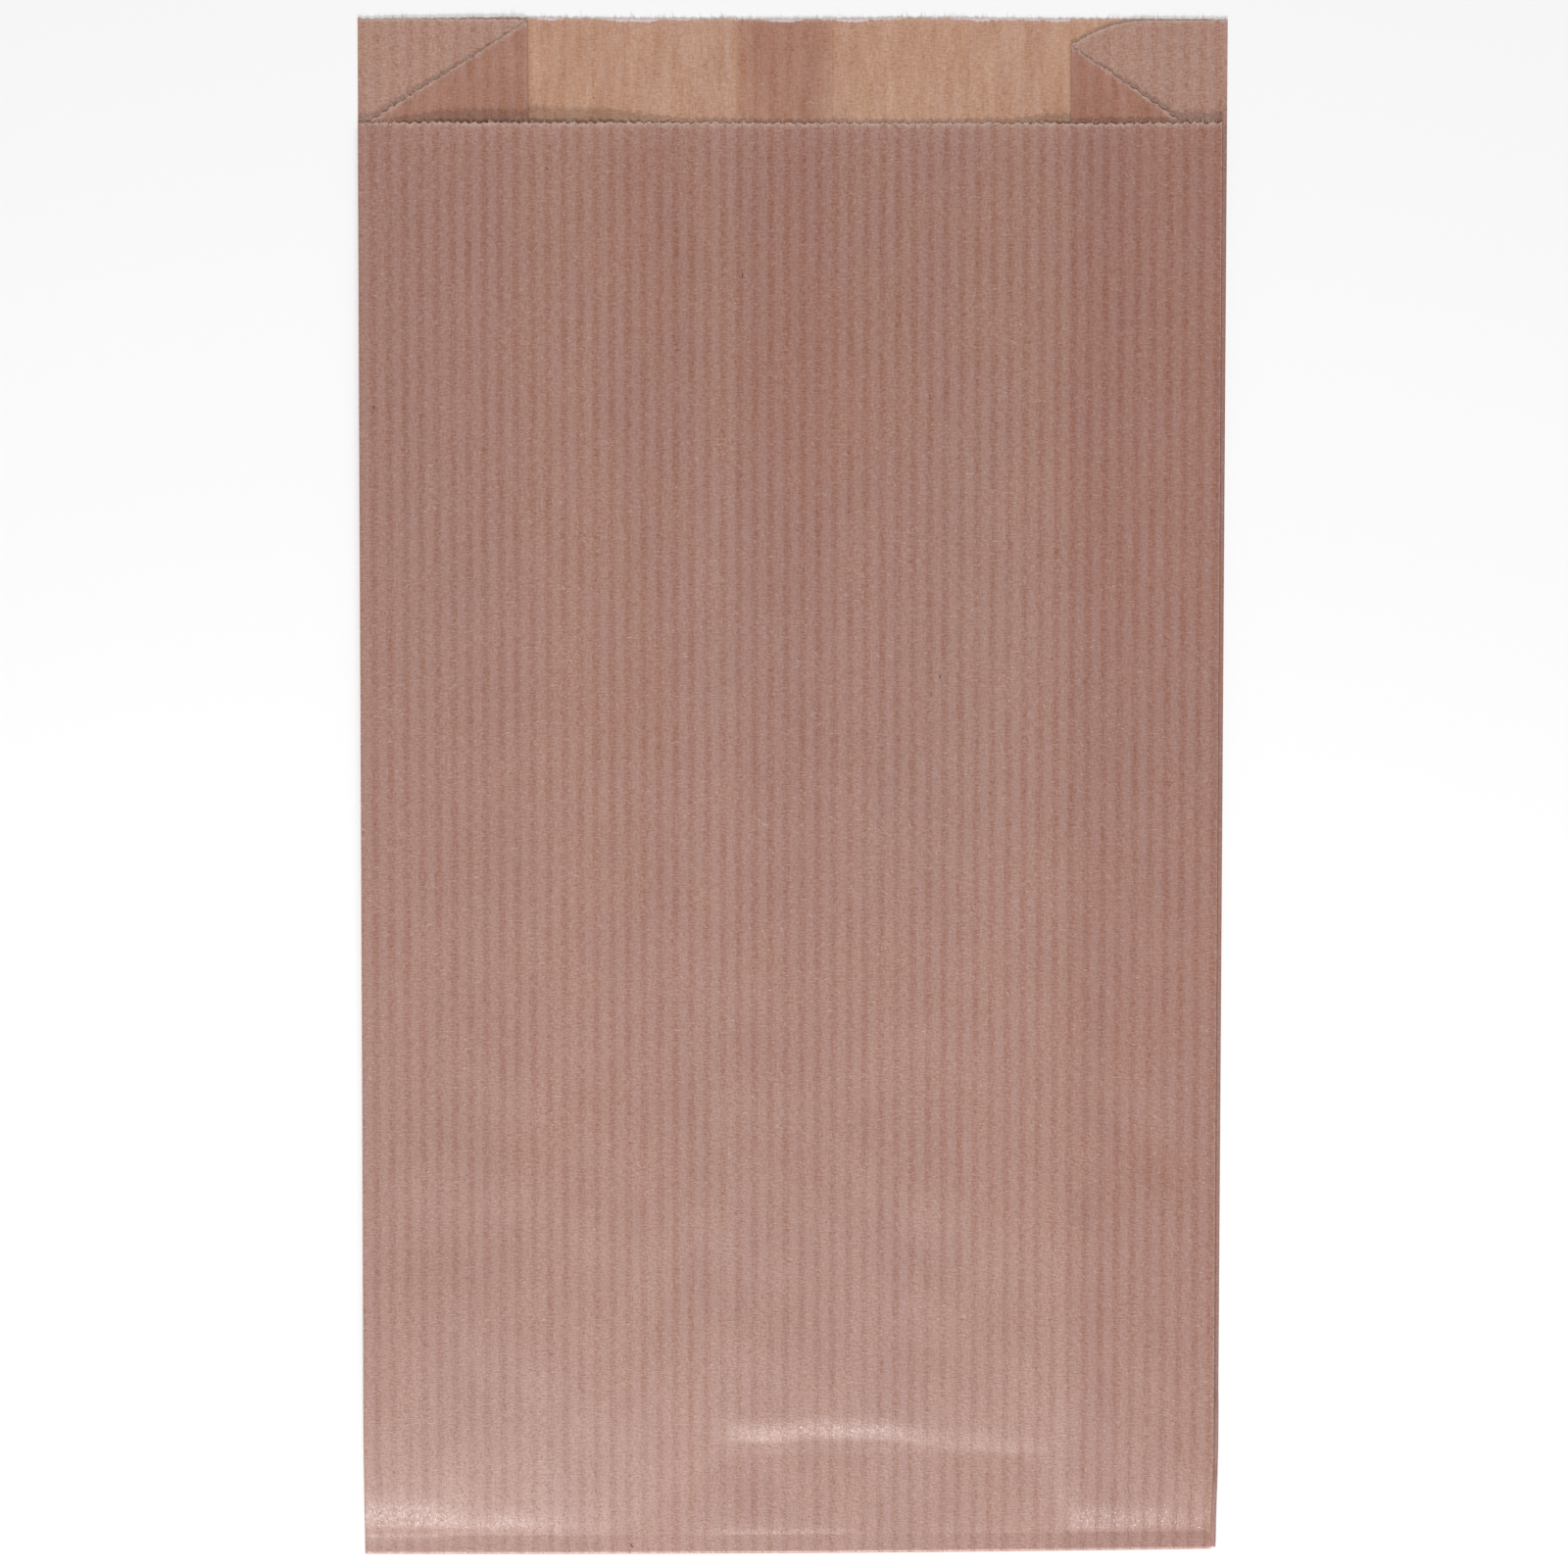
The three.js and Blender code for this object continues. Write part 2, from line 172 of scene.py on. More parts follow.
# The front's slow waves (height, a crest's place and the distance between crests), its dishing over the
# pasted flap and over the body, and the right gusset's crease, which shows through near the bottom
NARROW_WAVE = (0.10, -36, 25)
BROAD_WAVE = (0.07, 12, 47)
NARROW_SWAY = 0.4
NARROW_SWAY_RUN = 60
BROAD_DRIFT_RUN = 90
WAVES_GROW = (60, 190)
WAVES_OFF_SIDE = 10
COCKLE_COUNT = 12
COCKLE_LENGTHS = (11, 34)
COCKLE_TURN = 0.9
PASTED_DISHING = 0.020
PASTED_ALONG = ((PRESSED_STRIP, 12), (45, 110))
BODY_DISHING = 0.016
BODY_DISHED = (20, 60)
CREASE_LINE = 0.012
CREASE_LINE_AT = (CREASE_RIGHT - 0.7, 0.55)
CREASE_LINE_ALONG = ((1, 4), (16, 26))

rng = random.Random(7)


def smooth(x, a, b):
    t = min(1.0, max(0.0, (x - a) / (b - a)))
    return t * t * (3 - 2 * t)


def between(x, rising, falling):
    """Up to 1 over the first range, and back to 0 over the second."""
    return smooth(x, *rising) * (1 - smooth(x, *falling))


def mix(a, b, t):
    return a + (b - a) * t


def bell(x, centre, width):
    return math.exp(-(((x - centre) / width) ** 2))


# Heights of the plies' mid-planes over the table. The plies are those of the CAD part, up to 1 mm lower.
# x is the place across the bag, v the distance along it from the bottom bend, and n the same distance
# taken square to the bend, which is slightly skewed.


def from_bend(x, v):
    return v * COS - x * SIN


def opened(n, run):
    """0 on the pressed strip, then up to 1 at a falling rate."""
    return 1 - math.exp(-max(0.0, n - PRESSED_STRIP) / run)


def settled(n):
    return smooth(n, MOUTH_AT - MOUTH_RUN, MOUTH_AT)


def lift(x, n):
    """How high the bottom's turned-under plies hold up what lies on them."""
    at_left = 1 - smooth(x, CREASE_LEFT, CREASE_LEFT + SETTLE_ACROSS)
    at_right = smooth(x, CREASE_RIGHT - SETTLE_ACROSS, CREASE_RIGHT)
    on_flap = PLY * (1 + max(at_left, at_right))
    off_stack = smooth(n, STACK_REACH, STACK_REACH + SETTLE)
    off_flap = smooth(n, FLAP_REACH, FLAP_REACH + SETTLE)
    return mix(mix(STACK + FOLD_GAP, on_flap, off_stack), 0.0, off_flap)


def span(x, n):
    """The front panel doesn't follow each step of lift(), as the plies under it do."""
    return (STACK + FOLD_GAP) * (1 - smooth(n, PRESSED_STRIP, SPAN_END)) - lift(x, n)


def edge_height(x, n):
    pocket = SIDE_ROLL * opened(n, SIDE_ROLL_RUN) + SIDE_POCKET * opened(n, SIDE_POCKET_RUN)
    sink = MOUTH_SINK_LEFT if x < 0 else MOUTH_SINK_RIGHT
    return PRESSED_HEIGHT + pocket - sink * settled(n) + span(x, n)


def mouth_level(x):
    """The front's cut is highest at the left gusset, and lies on the back and its lap seam in the middle."""
    over_seam = ((SEAM_LEFT - MOUTH_OFF_SEAM, SEAM_LEFT), (SEAM_RIGHT, SEAM_RIGHT + MOUTH_OFF_SEAM))
    at_left = MOUTH_LEFT * bell(x, *MOUTH_LEFT_AT) + MOUTH_BESIDE * bell(x, *MOUTH_BESIDE_AT)
    at_right = MOUTH_RIGHT * smooth(x, *MOUTH_RIGHT_AT)
    return MOUTH_HEIGHT + PAPER * between(x, *over_seam) + at_left + at_right


COCKLES = [
    (
        rng.uniform(0.5, 1.0),
        rng.uniform(*COCKLE_LENGTHS),
        rng.uniform(-COCKLE_TURN, COCKLE_TURN),
        rng.uniform(0, 6.28),
    )
    for _ in range(COCKLE_COUNT)
]


def cockled(x, n):
    """Shallow, unordered dishing of the sheet, from the paste and from handling."""
    total = 0.0
    for size, length, turn, start in COCKLES:
        along = n * math.cos(turn) + x * math.sin(turn)
        total += size * length / COCKLE_LENGTHS[1] * math.sin(2 * math.pi * along / length + start)
    return total


def ridge_at(x):
    """How far from the bend the ridge starts: nearer at the right, and a little uneven."""
    uneven = 0.25 * math.sin(x / 5.2) + 0.15 * math.sin(x / 2.1)
    return RIDGE_AT - RIDGE_BACK * smooth(x, *RIDGE_TURNS) + uneven


def flap_ridge(x, n):
    """A quick climb at the flap's end and a slow fall past it, lower towards the right."""
    across = between(x, RIDGE_STARTS, RIDGE_ENDS) * (1 - 0.5 * smooth(x, *RIDGE_LOWER))
    past = n - ridge_at(x)
    climb = 1 - (1 - min(1.0, max(0.0, past / RIDGE_WIDTH))) ** 2
    return RIDGE * across * (climb - smooth(past, *RIDGE_FALLS))


def wave(x, height, crest, length, shift):
    return height * math.cos((x - crest) / length * 2 * math.pi + shift)


def front_waves(x, n):
    """All that lies on the front's even rise: waves, dishing, ridge, crease line and the cut's curl."""
    on_panel = between(x, (LEFT, LEFT + WAVES_OFF_SIDE), (FRONT_RIGHT - WAVES_OFF_SIDE, FRONT_RIGHT))
    grown = smooth(n, *WAVES_GROW) * (1 - 0.9 * settled(n))
    waves = wave(x, *NARROW_WAVE, NARROW_SWAY * math.sin(n / NARROW_SWAY_RUN))
    waves += wave(x, *BROAD_WAVE, n / BROAD_DRIFT_RUN)
    pasted = PASTED_DISHING * between(n, *PASTED_ALONG)
    body = BODY_DISHING * smooth(n, *BODY_DISHED) * (1 - 0.7 * settled(n))
    curl = MOUTH_CURL * max(0.0, 1 - (MOUTH_AT - n) / MOUTH_CURL_RUN) ** 2
    crease_line = CREASE_LINE * bell(x, *CREASE_LINE_AT) * between(n, *CREASE_LINE_ALONG)
    return on_panel * (grown * waves + (pasted + body) * cockled(x, n) + curl) + flap_ridge(x, n) + crease_line


def shoulder_width(x):
    if x < 0:
        wide = mix(SHOULDER_WIDE, SHOULDER_NARROW, smooth(x, *SHOULDER_NARROWS))
    else:
        wide = mix(SHOULDER_NARROW, SHOULDER_WIDE_RIGHT, smooth(x, CREASE_RIGHT, FRONT_RIGHT))
    return wide + SHOULDER_WANDER * math.sin(x / 4.3) * math.sin(x / 9.1 + 1)


def shoulder(x, n):
    """Past the pressed strip the four plies at each gusset spring up, and the paste draws the middle in."""
    wide = shoulder_width(x)
    t = min(1.0, max(0.0, n - PRESSED_STRIP) / wide)
    steep = SHOULDER_LEFT * (1 - smooth(x, *SHOULDER_OFF_LEFT)) + SHOULDER_RIGHT * smooth(x, *SHOULDER_ON_RIGHT)
    left_crest = LEFT_CREST * smooth(n, *LEFT_CREST_RISES) * (1 - smooth(x, *LEFT_CREST_ENDS))
    spring = (steep * wide * (t - t * t / 2) + left_crest) * (1 - smooth(n, *SHOULDER_FADES))
    swell = SWELL * (1 - smooth(x, *SWELL_ENDS)) * between(n, *SWELL_ALONG)
    crested = between(x, *CREST_MIDDLE) + CREST_RIGHT_SHARE * between(x, *CREST_RIGHT)
    return spring + swell + CREST * crested * opened(n, CREST_RUN) * (1 - smooth(n, *CREST_FADES))


def fold_height(x, n):
    return edge_height(x, n) + shoulder(x, n)


def front_height(x, n):
    open_height = mix(BODY_HEIGHT, mouth_level(x), settled(n)) + span(x, n)
    held = HELD_DOWN * between(x, *HELD_ACROSS)
    middle = mix(PRESSED_HEIGHT + span(x, n), open_height, opened(n - held, BODY_RUN))
    half = (FRONT_RIGHT - LEFT) / 2
    t = min(1.0, abs(x - (LEFT + FRONT_RIGHT) / 2) / half)
    return mix(middle, edge_height(x, n), t**CROWN_POWER)


def front_top(x, n):
    return front_height(x, n) + shoulder(x, n) + front_waves(x, n)


def crease_height(crease, n):
    """A gusset's crease lies midway between front and back, and sinks towards the table at the mouth."""
    midway = (front_height(crease, n) + PAPER / 2) / 2
    return mix(midway, (PRESSED_HEIGHT + PAPER / 2) / 2 + CREASE_STAND, settled(n))


def back_height(x, n):
    """The back lies on the table, and its free lip is very slightly wavy."""
    lip = smooth(n, MOUTH_AT, MOUTH_AT + LIP)
    return PAPER / 2 + lip * (LIP_LIFT + 0.01 * math.sin(x / 9.1) + 0.005 * math.sin(x / 23 + 1.3))


def gusset_back(fold, crease):
    def height(x, n):
        lip = back_height(x, n) - PAPER / 2
        t = (x - fold) / (crease - fold)
        return mix(PAPER / 2 + PLY, crease_height(crease, n) - PLY / 2, t) + lip

    return height


def gusset_front(fold, crease):
    def height(x, n):
        t = (x - fold) / (crease - fold)
        return mix(fold_height(fold, n) - PLY, crease_height(crease, n) + PLY / 2, t)

    return height


# The tube's section: stations from the lap seam round to the lap seam. Each has its place along the
# web, functions of n for its outside and inside surface, and the panel it belongs to.
FOLD_SUPPORT = 0.12
CREASE_STEPS = 6
FRONT_STEP = 1.25
GUSSET_STEP = 3.0
BACK_STEP = 3.2
LAP = 0.2
LAP_STEPS = 5

stations = []
web_length = 0.0


def add_station(run, outside, inside, panel):
    global web_length
    web_length += run
    stations.append({"web": web_length, "sides": (outside, inside), "panel": panel})


def add_panel(x0, x1, step, height, outward, panel, extra=()):
    """Even places between two folds, one close to each so that the shading turns only there, and extra ones."""
    global web_length
    length = abs(x1 - x0)
    count = max(1, round(length / step))
    runs = {i * length / count for i in range(1, count)}
    runs |= {FOLD_SUPPORT, length - FOLD_SUPPORT} | {abs(x - x0) for x in extra}

    def side(x, sign):
        return lambda n: (x, height(x, n) + sign * outward * PAPER / 2)

    done = 0.0
    for run in sorted(runs):
        x = mix(x0, x1, run / length)
        add_station(run - done, side(x, 1), side(x, -1), panel)
        done = run
    web_length += length - done


def add_crease(tip, facing, rising, middle, outside_out, panel):
    """Half a turn of the sheet about a crease's or side fold's tip, with its outside or its inside out."""
    radii = (CREASE_R, FOLD_GAP / 2) if outside_out else (FOLD_GAP / 2, CREASE_R)

    def arc(radius, angle):
        return lambda n: (
            tip + facing * (radius * math.cos(angle) - CREASE_R),
            middle(n) + radius * math.sin(angle),
        )

    for i in range(CREASE_STEPS + 1):
        angle = rising * mix(-math.pi / 2, math.pi / 2, i / CREASE_STEPS)
        run = math.pi * PLY / 2 / CREASE_STEPS if i else 0.0
        add_station(run, arc(radii[0], angle), arc(radii[1], angle), panel)


def fixed(x, z):
    """A place at one height over the back's own underside."""

    def at(n):
        return (x, z + back_height(x, n) - PAPER / 2)

    return at


IN_LEFT = LEFT + CREASE_R
IN_RIGHT = RIGHT - CREASE_R
IN_FRONT_RIGHT = FRONT_RIGHT - CREASE_R
IN_CREASE_LEFT = CREASE_LEFT - CREASE_R
IN_CREASE_RIGHT = CREASE_RIGHT + CREASE_R
CREASE_LINE_ROWS = [CREASE_LINE_AT[0] + offset for offset in (-0.8, -0.4, 0.0, 0.4, 0.8)]

add_station(0, fixed(SEAM_LEFT, PAPER), fixed(SEAM_LEFT - LAP, 2 * PAPER), "back")
add_station(LAP, fixed(SEAM_LEFT - LAP, 0.9 * PAPER), fixed(SEAM_LEFT - 2 * LAP, 1.9 * PAPER), "back")
add_station(SEAM_RAMP - LAP, fixed(SEAM_LEFT - SEAM_RAMP, 0), fixed(SEAM_LEFT - SEAM_RAMP, PAPER), "back")
add_panel(SEAM_LEFT - SEAM_RAMP, IN_LEFT, BACK_STEP, back_height, -1, "back")
add_crease(LEFT, -1, 1, lambda n: back_height(LEFT, n) + PLY / 2, True, "back")
add_panel(IN_LEFT, IN_CREASE_LEFT, GUSSET_STEP, gusset_back(IN_LEFT, IN_CREASE_LEFT), 1, "gusset_back")
add_crease(CREASE_LEFT, 1, 1, lambda n: crease_height(IN_CREASE_LEFT, n), False, "gusset")
add_panel(IN_CREASE_LEFT, IN_LEFT, GUSSET_STEP, gusset_front(IN_LEFT, IN_CREASE_LEFT), -1, "gusset_front")
add_crease(LEFT, -1, 1, lambda n: fold_height(LEFT, n) - PLY / 2, True, "fold")
front_from = web_length
add_panel(IN_LEFT, IN_FRONT_RIGHT, FRONT_STEP, front_top, 1, "front", CREASE_LINE_ROWS)
front_to = web_length
add_crease(FRONT_RIGHT, 1, -1, lambda n: fold_height(FRONT_RIGHT, n) - PLY / 2, True, "fold")
gusset_front_right = gusset_front(IN_FRONT_RIGHT, IN_CREASE_RIGHT)
add_panel(IN_FRONT_RIGHT, IN_CREASE_RIGHT, GUSSET_STEP, gusset_front_right, -1, "gusset_front")
add_crease(CREASE_RIGHT, -1, -1, lambda n: crease_height(IN_CREASE_RIGHT, n), False, "gusset")
add_panel(IN_CREASE_RIGHT, IN_RIGHT, GUSSET_STEP, gusset_back(IN_RIGHT, IN_CREASE_RIGHT), 1, "gusset_back")
add_crease(RIGHT, 1, -1, lambda n: back_height(RIGHT, n) + PLY / 2, True, "back")
add_panel(IN_RIGHT, SEAM_RIGHT + LAP, BACK_STEP, back_height, -1, "back")
add_station(0, fixed(SEAM_RIGHT + LAP, 0), fixed(SEAM_RIGHT, PAPER), "back")
add_station(LAP, fixed(SEAM_RIGHT, 0), fixed(SEAM_RIGHT, 2 * PAPER), "back")
for i in range(1, LAP_STEPS + 1):
    x = mix(SEAM_RIGHT, SEAM_LEFT, i / LAP_STEPS)
    add_station((SEAM_RIGHT - SEAM_LEFT) / LAP_STEPS, fixed(x, 0), fixed(x, 2 * PAPER), "back")

# Where the lip's bare inside ends at each gusset's crease, along the web
LIP_WEB_LEFT = SEAM_LEFT - CREASE_LEFT
LIP_WEB_RIGHT = web_length - (SEAM_RIGHT - SEAM_LEFT) - (CREASE_RIGHT - SEAM_RIGHT)


def rise_at(cut, run):
    """How far the stepped cut has risen at a run from the front's side fold towards the back."""
    on_slope = min(max(run - cut["start"], 0.0), cut["straight"])
    rest = LIP - cut["slope"] * cut["straight"]
    if run <= cut["start"] + cut["straight"] or rest <= 0:
        return min(LIP, cut["slope"] * on_slope)
    easing = 2 * rest / cut["slope"]
    return LIP - rest * max(0.0, 1 - (run - cut["start"] - cut["straight"]) / easing) ** 2


def cut_rise(web):
    if web < front_from:
        return rise_at(LEFT_CUT, front_from - web)
    return rise_at(RIGHT_CUT, web - front_to)


def tooth_profile():
    """Irregular teeth along the whole web: turning points of the cut, and a fine fray between them."""
    webs, offsets = [0.0], [0.0]
    at, up = 0.0, True
    while at < web_length:
        at += TOOTH_PITCH / 2 * rng.uniform(*TOOTH_PITCH_VARIES)
        webs.append(at)
        offsets.append((0.5 if up else -0.5) * TOOTH_DEPTH * rng.uniform(*TOOTH_DEPTH_VARIES))
        up = not up
    fine = np.arange(0, web_length + EDGE_STEP, EDGE_STEP)
    fray = np.array([rng.gauss(0, TOOTH_FRAY) for _ in fine])
    return fine, np.interp(fine, webs, offsets) + fray


TEETH = {end: tooth_profile() for end in ("top", "bottom")}

# Over the front the cut is nearly straight and a little longer, with one dip.
FRONT_CUT_EASE = 6
FRONT_CUT_LONGER = 0.10
FRONT_CUT_DIP = 0.15
FRONT_CUT_DIP_AT = (front_from + 121.5, 4)
LIP_TEETH = 0.5


def tooth_wave(end, web):
    """How far the cut stands out. The front's teeth are the deepest, and the lip's are blunted."""
    fine, offset = TEETH[end]
    wander = 0.14 * math.sin(web / 17.0) + 0.08 * math.sin(web / 6.3 + 2)
    front_wander = FRONT_CUT_LONGER + 0.03 * math.sin(web / 6.3) - FRONT_CUT_DIP * bell(web, *FRONT_CUT_DIP_AT)
    on_front = between(web, (front_from - FRONT_CUT_EASE, front_from), (front_to, front_to + FRONT_CUT_EASE))
    blunted = 1.0 if front_from - GUSSET_LEFT < web < front_to + GUSSET_RIGHT else LIP_TEETH
    return float(np.interp(web, fine, offset)) * blunted + mix(wander, front_wander, on_front)


# At the bottom the sheet is a little narrower, and its fold is bowed and slightly out of square.
DRAWN_ALONG = (2, 18)
DRAWN_ACROSS = 20
DRAWN_LEFT = 0.10
DRAWN_RIGHT = 0.34
BOTTOM_BOW = 0.32
BOTTOM_SLANT = 0.09


def drawn_in(x, v):
    t = x / RIGHT
    at_left = DRAWN_LEFT * (1 - smooth(x, LEFT, LEFT + DRAWN_ACROSS))
    at_right = DRAWN_RIGHT * smooth(x, RIGHT - DRAWN_ACROSS, RIGHT)
    low = 1 - smooth(v, *DRAWN_ALONG)
    return (at_left - at_right) * low, (BOTTOM_SLANT * (t + 1) - BOTTOM_BOW * (1 - t * t)) * low


def folded(x, v, z):
    """The flat tube's place with its lower end turned under, round the skewed bottom bend."""
    m = x * COS + v * SIN
    n = from_bend(x, v)
    if n >= 0:
        return (x, v, z + lift(x, n))
    radius = z + FOLD_GAP / 2
    angle = min(math.pi, -n / BEND_R)
    past = max(0.0, -n - BEND_RUN)
    across = past - radius * math.sin(angle)
    height = STACK + FOLD_GAP / 2 + radius * math.cos(angle)
    return (m * COS - across * SIN, m * SIN + across * COS, height)


# Rows of the grid, as n, close together where the bottom is pressed and pasted.
FLAP_ROWS = [0.25, 0.5, 0.75]
BEND_ROWS = 8
BODY_ROWS = [0.12, 0.9, 1.8, 2.5, 2.75, 2.95, 3.2, 3.5, 3.9, 4.4, 5.0, 5.7, 6.5]
BODY_ROWS += list(np.arange(7.3, 13, 0.75)) + list(np.arange(13, 21, 0.4))
BODY_ROWS += list(np.arange(21.2, 34, 0.8)) + list(np.arange(35, MOUTH_AT - 8, 2.5))
EDGE_BAND = 1.3


class Builder:
    """The sheet's vertices and faces, with what the material is told at each vertex."""

    def __init__(self):
        self.points, self.faces = [], []
        self.web, self.depth, self.rim, self.rubbed = [], [], [], []

    def add(self, station, side, v, rim, share=0.0, other=None):
        x0, z0 = surface_point(station, side, v)
        web = station["web"]
        if other is not None:
            x1, z1 = surface_point(other, side, v)
            x0, z0 = mix(x0, x1, share), mix(z0, z1, share)
            web = mix(web, other["web"], share)
        x, y, z = folded(x0, v, z0)
        across, along = drawn_in(x0, v)
        outer = station["panel"] in ("front", "fold")
        self.points.append((x + across, y + along, z))
        self.web.append((web, v, float(side)))
        self.depth.append(layer_depth(station["panel"], x0, v))
        self.rim.append(rim)
        self.rubbed.append(rubbed(x0, max(0.0, from_bend(x0, v))) if outer else 0.0)
        return len(self.points) - 1


def surface_point(station, side, v):
    at = station["sides"][side]
    x = at(0.0)[0]
    return at(max(0.0, from_bend(x, v)))


# Where rubbing has polished the glaze, which also gets painted glints: on the sprung-up paper of both gussets
# and the low crests past the pressed strip, each over a range of n, and along the ridge's top.
POLISH_OFF_LEFT = (CREASE_LEFT - 6, CREASE_LEFT + 16)
POLISH_ON_RIGHT = (CREASE_RIGHT - 1, CREASE_RIGHT + 3)
POLISH_LEFT_FROM = (3.4, 4.4)
POLISH_LEFT_TO = 8.4
POLISH_LEFT_SHORTER_TO = 5.0
POLISH_LEFT_SHORTENS = (LEFT + 6, CREASE_LEFT + 8)
POLISH_RIGHT_FROM = (2.8, 3.4)
POLISH_RIGHT_TO = (4.5, 8.0)
POLISH_CREST = 0.7
POLISH_LEFT_CREST_AT = (2.5, 0.45)
POLISH_LEFT_CREST_ENDS = (LEFT + 10, LEFT + 16)
POLISH_CREST_AT = (3.1, 0.5)
POLISH_CREST_ACROSS = ((-20, -9), (6, 13))
POLISH_RIDGE_AT = (1.6, 1.8)
POLISH_RIDGE_ACROSS = ((-13, -6), (40, 44.5))
POLISH_RIDGE_LESS = (16, 26)


def rubbed(x, n):
    """0 for the plain glaze and 1 where it is polished by rubbing."""
    uneven = 0.8 * math.sin(x / 3.7) + 0.5 * math.sin(x / 1.9 + 1)
    far = mix(POLISH_LEFT_TO, POLISH_LEFT_SHORTER_TO, smooth(x, *POLISH_LEFT_SHORTENS)) + uneven
    at_left = (1 - smooth(x, *POLISH_OFF_LEFT)) * between(n, POLISH_LEFT_FROM, (far - 2.5, far + 1.5))
    right_to = [edge + uneven for edge in POLISH_RIGHT_TO]
    at_right = smooth(x, *POLISH_ON_RIGHT) * between(n, POLISH_RIGHT_FROM, right_to)
    left_crest = bell(n, *POLISH_LEFT_CREST_AT) * (1 - smooth(x, *POLISH_LEFT_CREST_ENDS))
    crest = between(x, *POLISH_CREST_ACROSS) * bell(n, *POLISH_CREST_AT)
    on_ridge = between(x, *POLISH_RIDGE_ACROSS) * (1 - 0.75 * smooth(x, *POLISH_RIDGE_LESS))
    ridge_top = on_ridge * bell(n - ridge_at(x), *POLISH_RIDGE_AT)
    return min(1.0, at_left + at_right + POLISH_CREST * (left_crest + crest) + ridge_top)


# Painted shade for light through the thin paper, how dark it looks: 0 for one ply over the pale table, and more
# for a ply with others under it
LAP_DEPTH = 1.05
GUSSET_BACK_DEPTH = (0.24, 0.38)
GUSSET_FRONT_DEPTH = (1.13, 1.34)
# The side folds' arcs: painted light against the shade where they turn down
FOLD_DEPTH = 0.35
SIDE_STRIP_DEPTH = 1.3
SIDE_STRIP_INNER_DEPTH = 1.4
OVER_LAP = ((SEAM_LEFT - 0.35, SEAM_LEFT + 0.35), (SEAM_RIGHT - 0.3, SEAM_RIGHT + 0.3))
# The front's depth at its low and high end, and what the plies under it add
FRONT_DEPTH = 1.0
FRONT_HIGH = (-20, MOUTH_AT)
OVER_LAP_DEPTH = (0.05, 0.12)
OVER_LEFT_DEPTH = 0.03
OVER_RIGHT_DEPTH = (0.15, 0.22)
CREASE_EASE = 0.8
# Painted shade on the pressed strip below the bottom crease, darker towards the right
PRESSED_DEPTH = (0.08, 0.20)
# Painted light on the bottom bend, against the shade where it turns under
BEND_LIGHTER = 0.4
# Slow lengthwise bands on the front, painted shade and light of its slow waves and of the plies seen through
# it: centre and half-width, and how much deeper
FRONT_BANDS = [
    (-36.5, 7, -0.10),
    (-21.0, 5, 0.10),
    (-12.6, 3.5, -0.10),
    (3.0, 6, 0.08),
    (35.0, 8, -0.08),
    (52.0, 5, 0.08),
]


def front_depth(x, v):
    high = smooth(v, *FRONT_HIGH)
    # Painted shade and light of the front's slow waves and of the plies under it
    bands = sum(amount * bell(x, centre, width) for centre, width, amount in FRONT_BANDS)
    over_left = 1 - smooth(x, CREASE_LEFT - CREASE_EASE, CREASE_LEFT + CREASE_EASE)
    over_right = smooth(x, CREASE_RIGHT - CREASE_EASE, CREASE_RIGHT + CREASE_EASE)
    under = mix(*OVER_LAP_DEPTH, high) * between(x, *OVER_LAP) + OVER_LEFT_DEPTH * over_left
    under += mix(*OVER_RIGHT_DEPTH, high) * over_right
    n = from_bend(x, v)
    # Painted light on the bottom bend
    over_bend = smooth(-n, 0.0, 0.5)
    # Painted shade on the flat pressed strip, which catches little sheen
    on_strip = 1 - smooth(n, PRESSED_STRIP - 0.3, PRESSED_STRIP + 0.1)
    pressed = on_strip * smooth(x, LEFT + 2, LEFT + 16) * (1 - over_bend)
    strip = mix(*PRESSED_DEPTH, smooth(x, -20, 60)) * pressed
    return FRONT_DEPTH + high * bands + under + strip - BEND_LIGHTER * over_bend


def layer_depth(panel, x, v):
    # The back's strip that shows beside the front's right fold lies in the shade of the plies over it.
    side_strip = smooth(x, FRONT_RIGHT - 0.3, FRONT_RIGHT) * (1 - smooth(v, MOUTH_AT - 1, MOUTH_AT))
    if panel == "back":
        return LAP_DEPTH * between(x, *OVER_LAP) + SIDE_STRIP_DEPTH * side_strip
    if panel == "gusset_back":
        return mix(GUSSET_BACK_DEPTH[0 if x < 0 else 1], SIDE_STRIP_INNER_DEPTH, side_strip)
    # Painted light on the side folds' arcs
    if panel == "fold":
        return FOLD_DEPTH
    if panel == "front":
        return front_depth(x, v)
    return GUSSET_FRONT_DEPTH[0 if x < 0 else 1]


build = Builder()


def rows_of(station):
    """The grid's places along one station, from the strip of teeth at the bottom to that at the mouth."""
    x = station["sides"][0](0.0)[0]
    rise = cut_rise(station["web"])
    bottom = -BEND_RUN - FLAP + rise

    def at(n):
        return (n + x * SIN) / COS

    flap = [mix(bottom + EDGE_BAND, at(-BEND_RUN), share) for share in FLAP_ROWS]
    bend = [at(-BEND_RUN * (1 - i / BEND_ROWS)) for i in range(BEND_ROWS + 1)]
    body = [at(n) for n in BODY_ROWS]
    last = body[-1]
    upper = [mix(last, MOUTH_AT + rise - EDGE_BAND, share) for share in (0.35, 0.7)]
    return [bottom + EDGE_BAND, *flap, *bend, *body, *upper, MOUTH_AT + rise - EDGE_BAND]


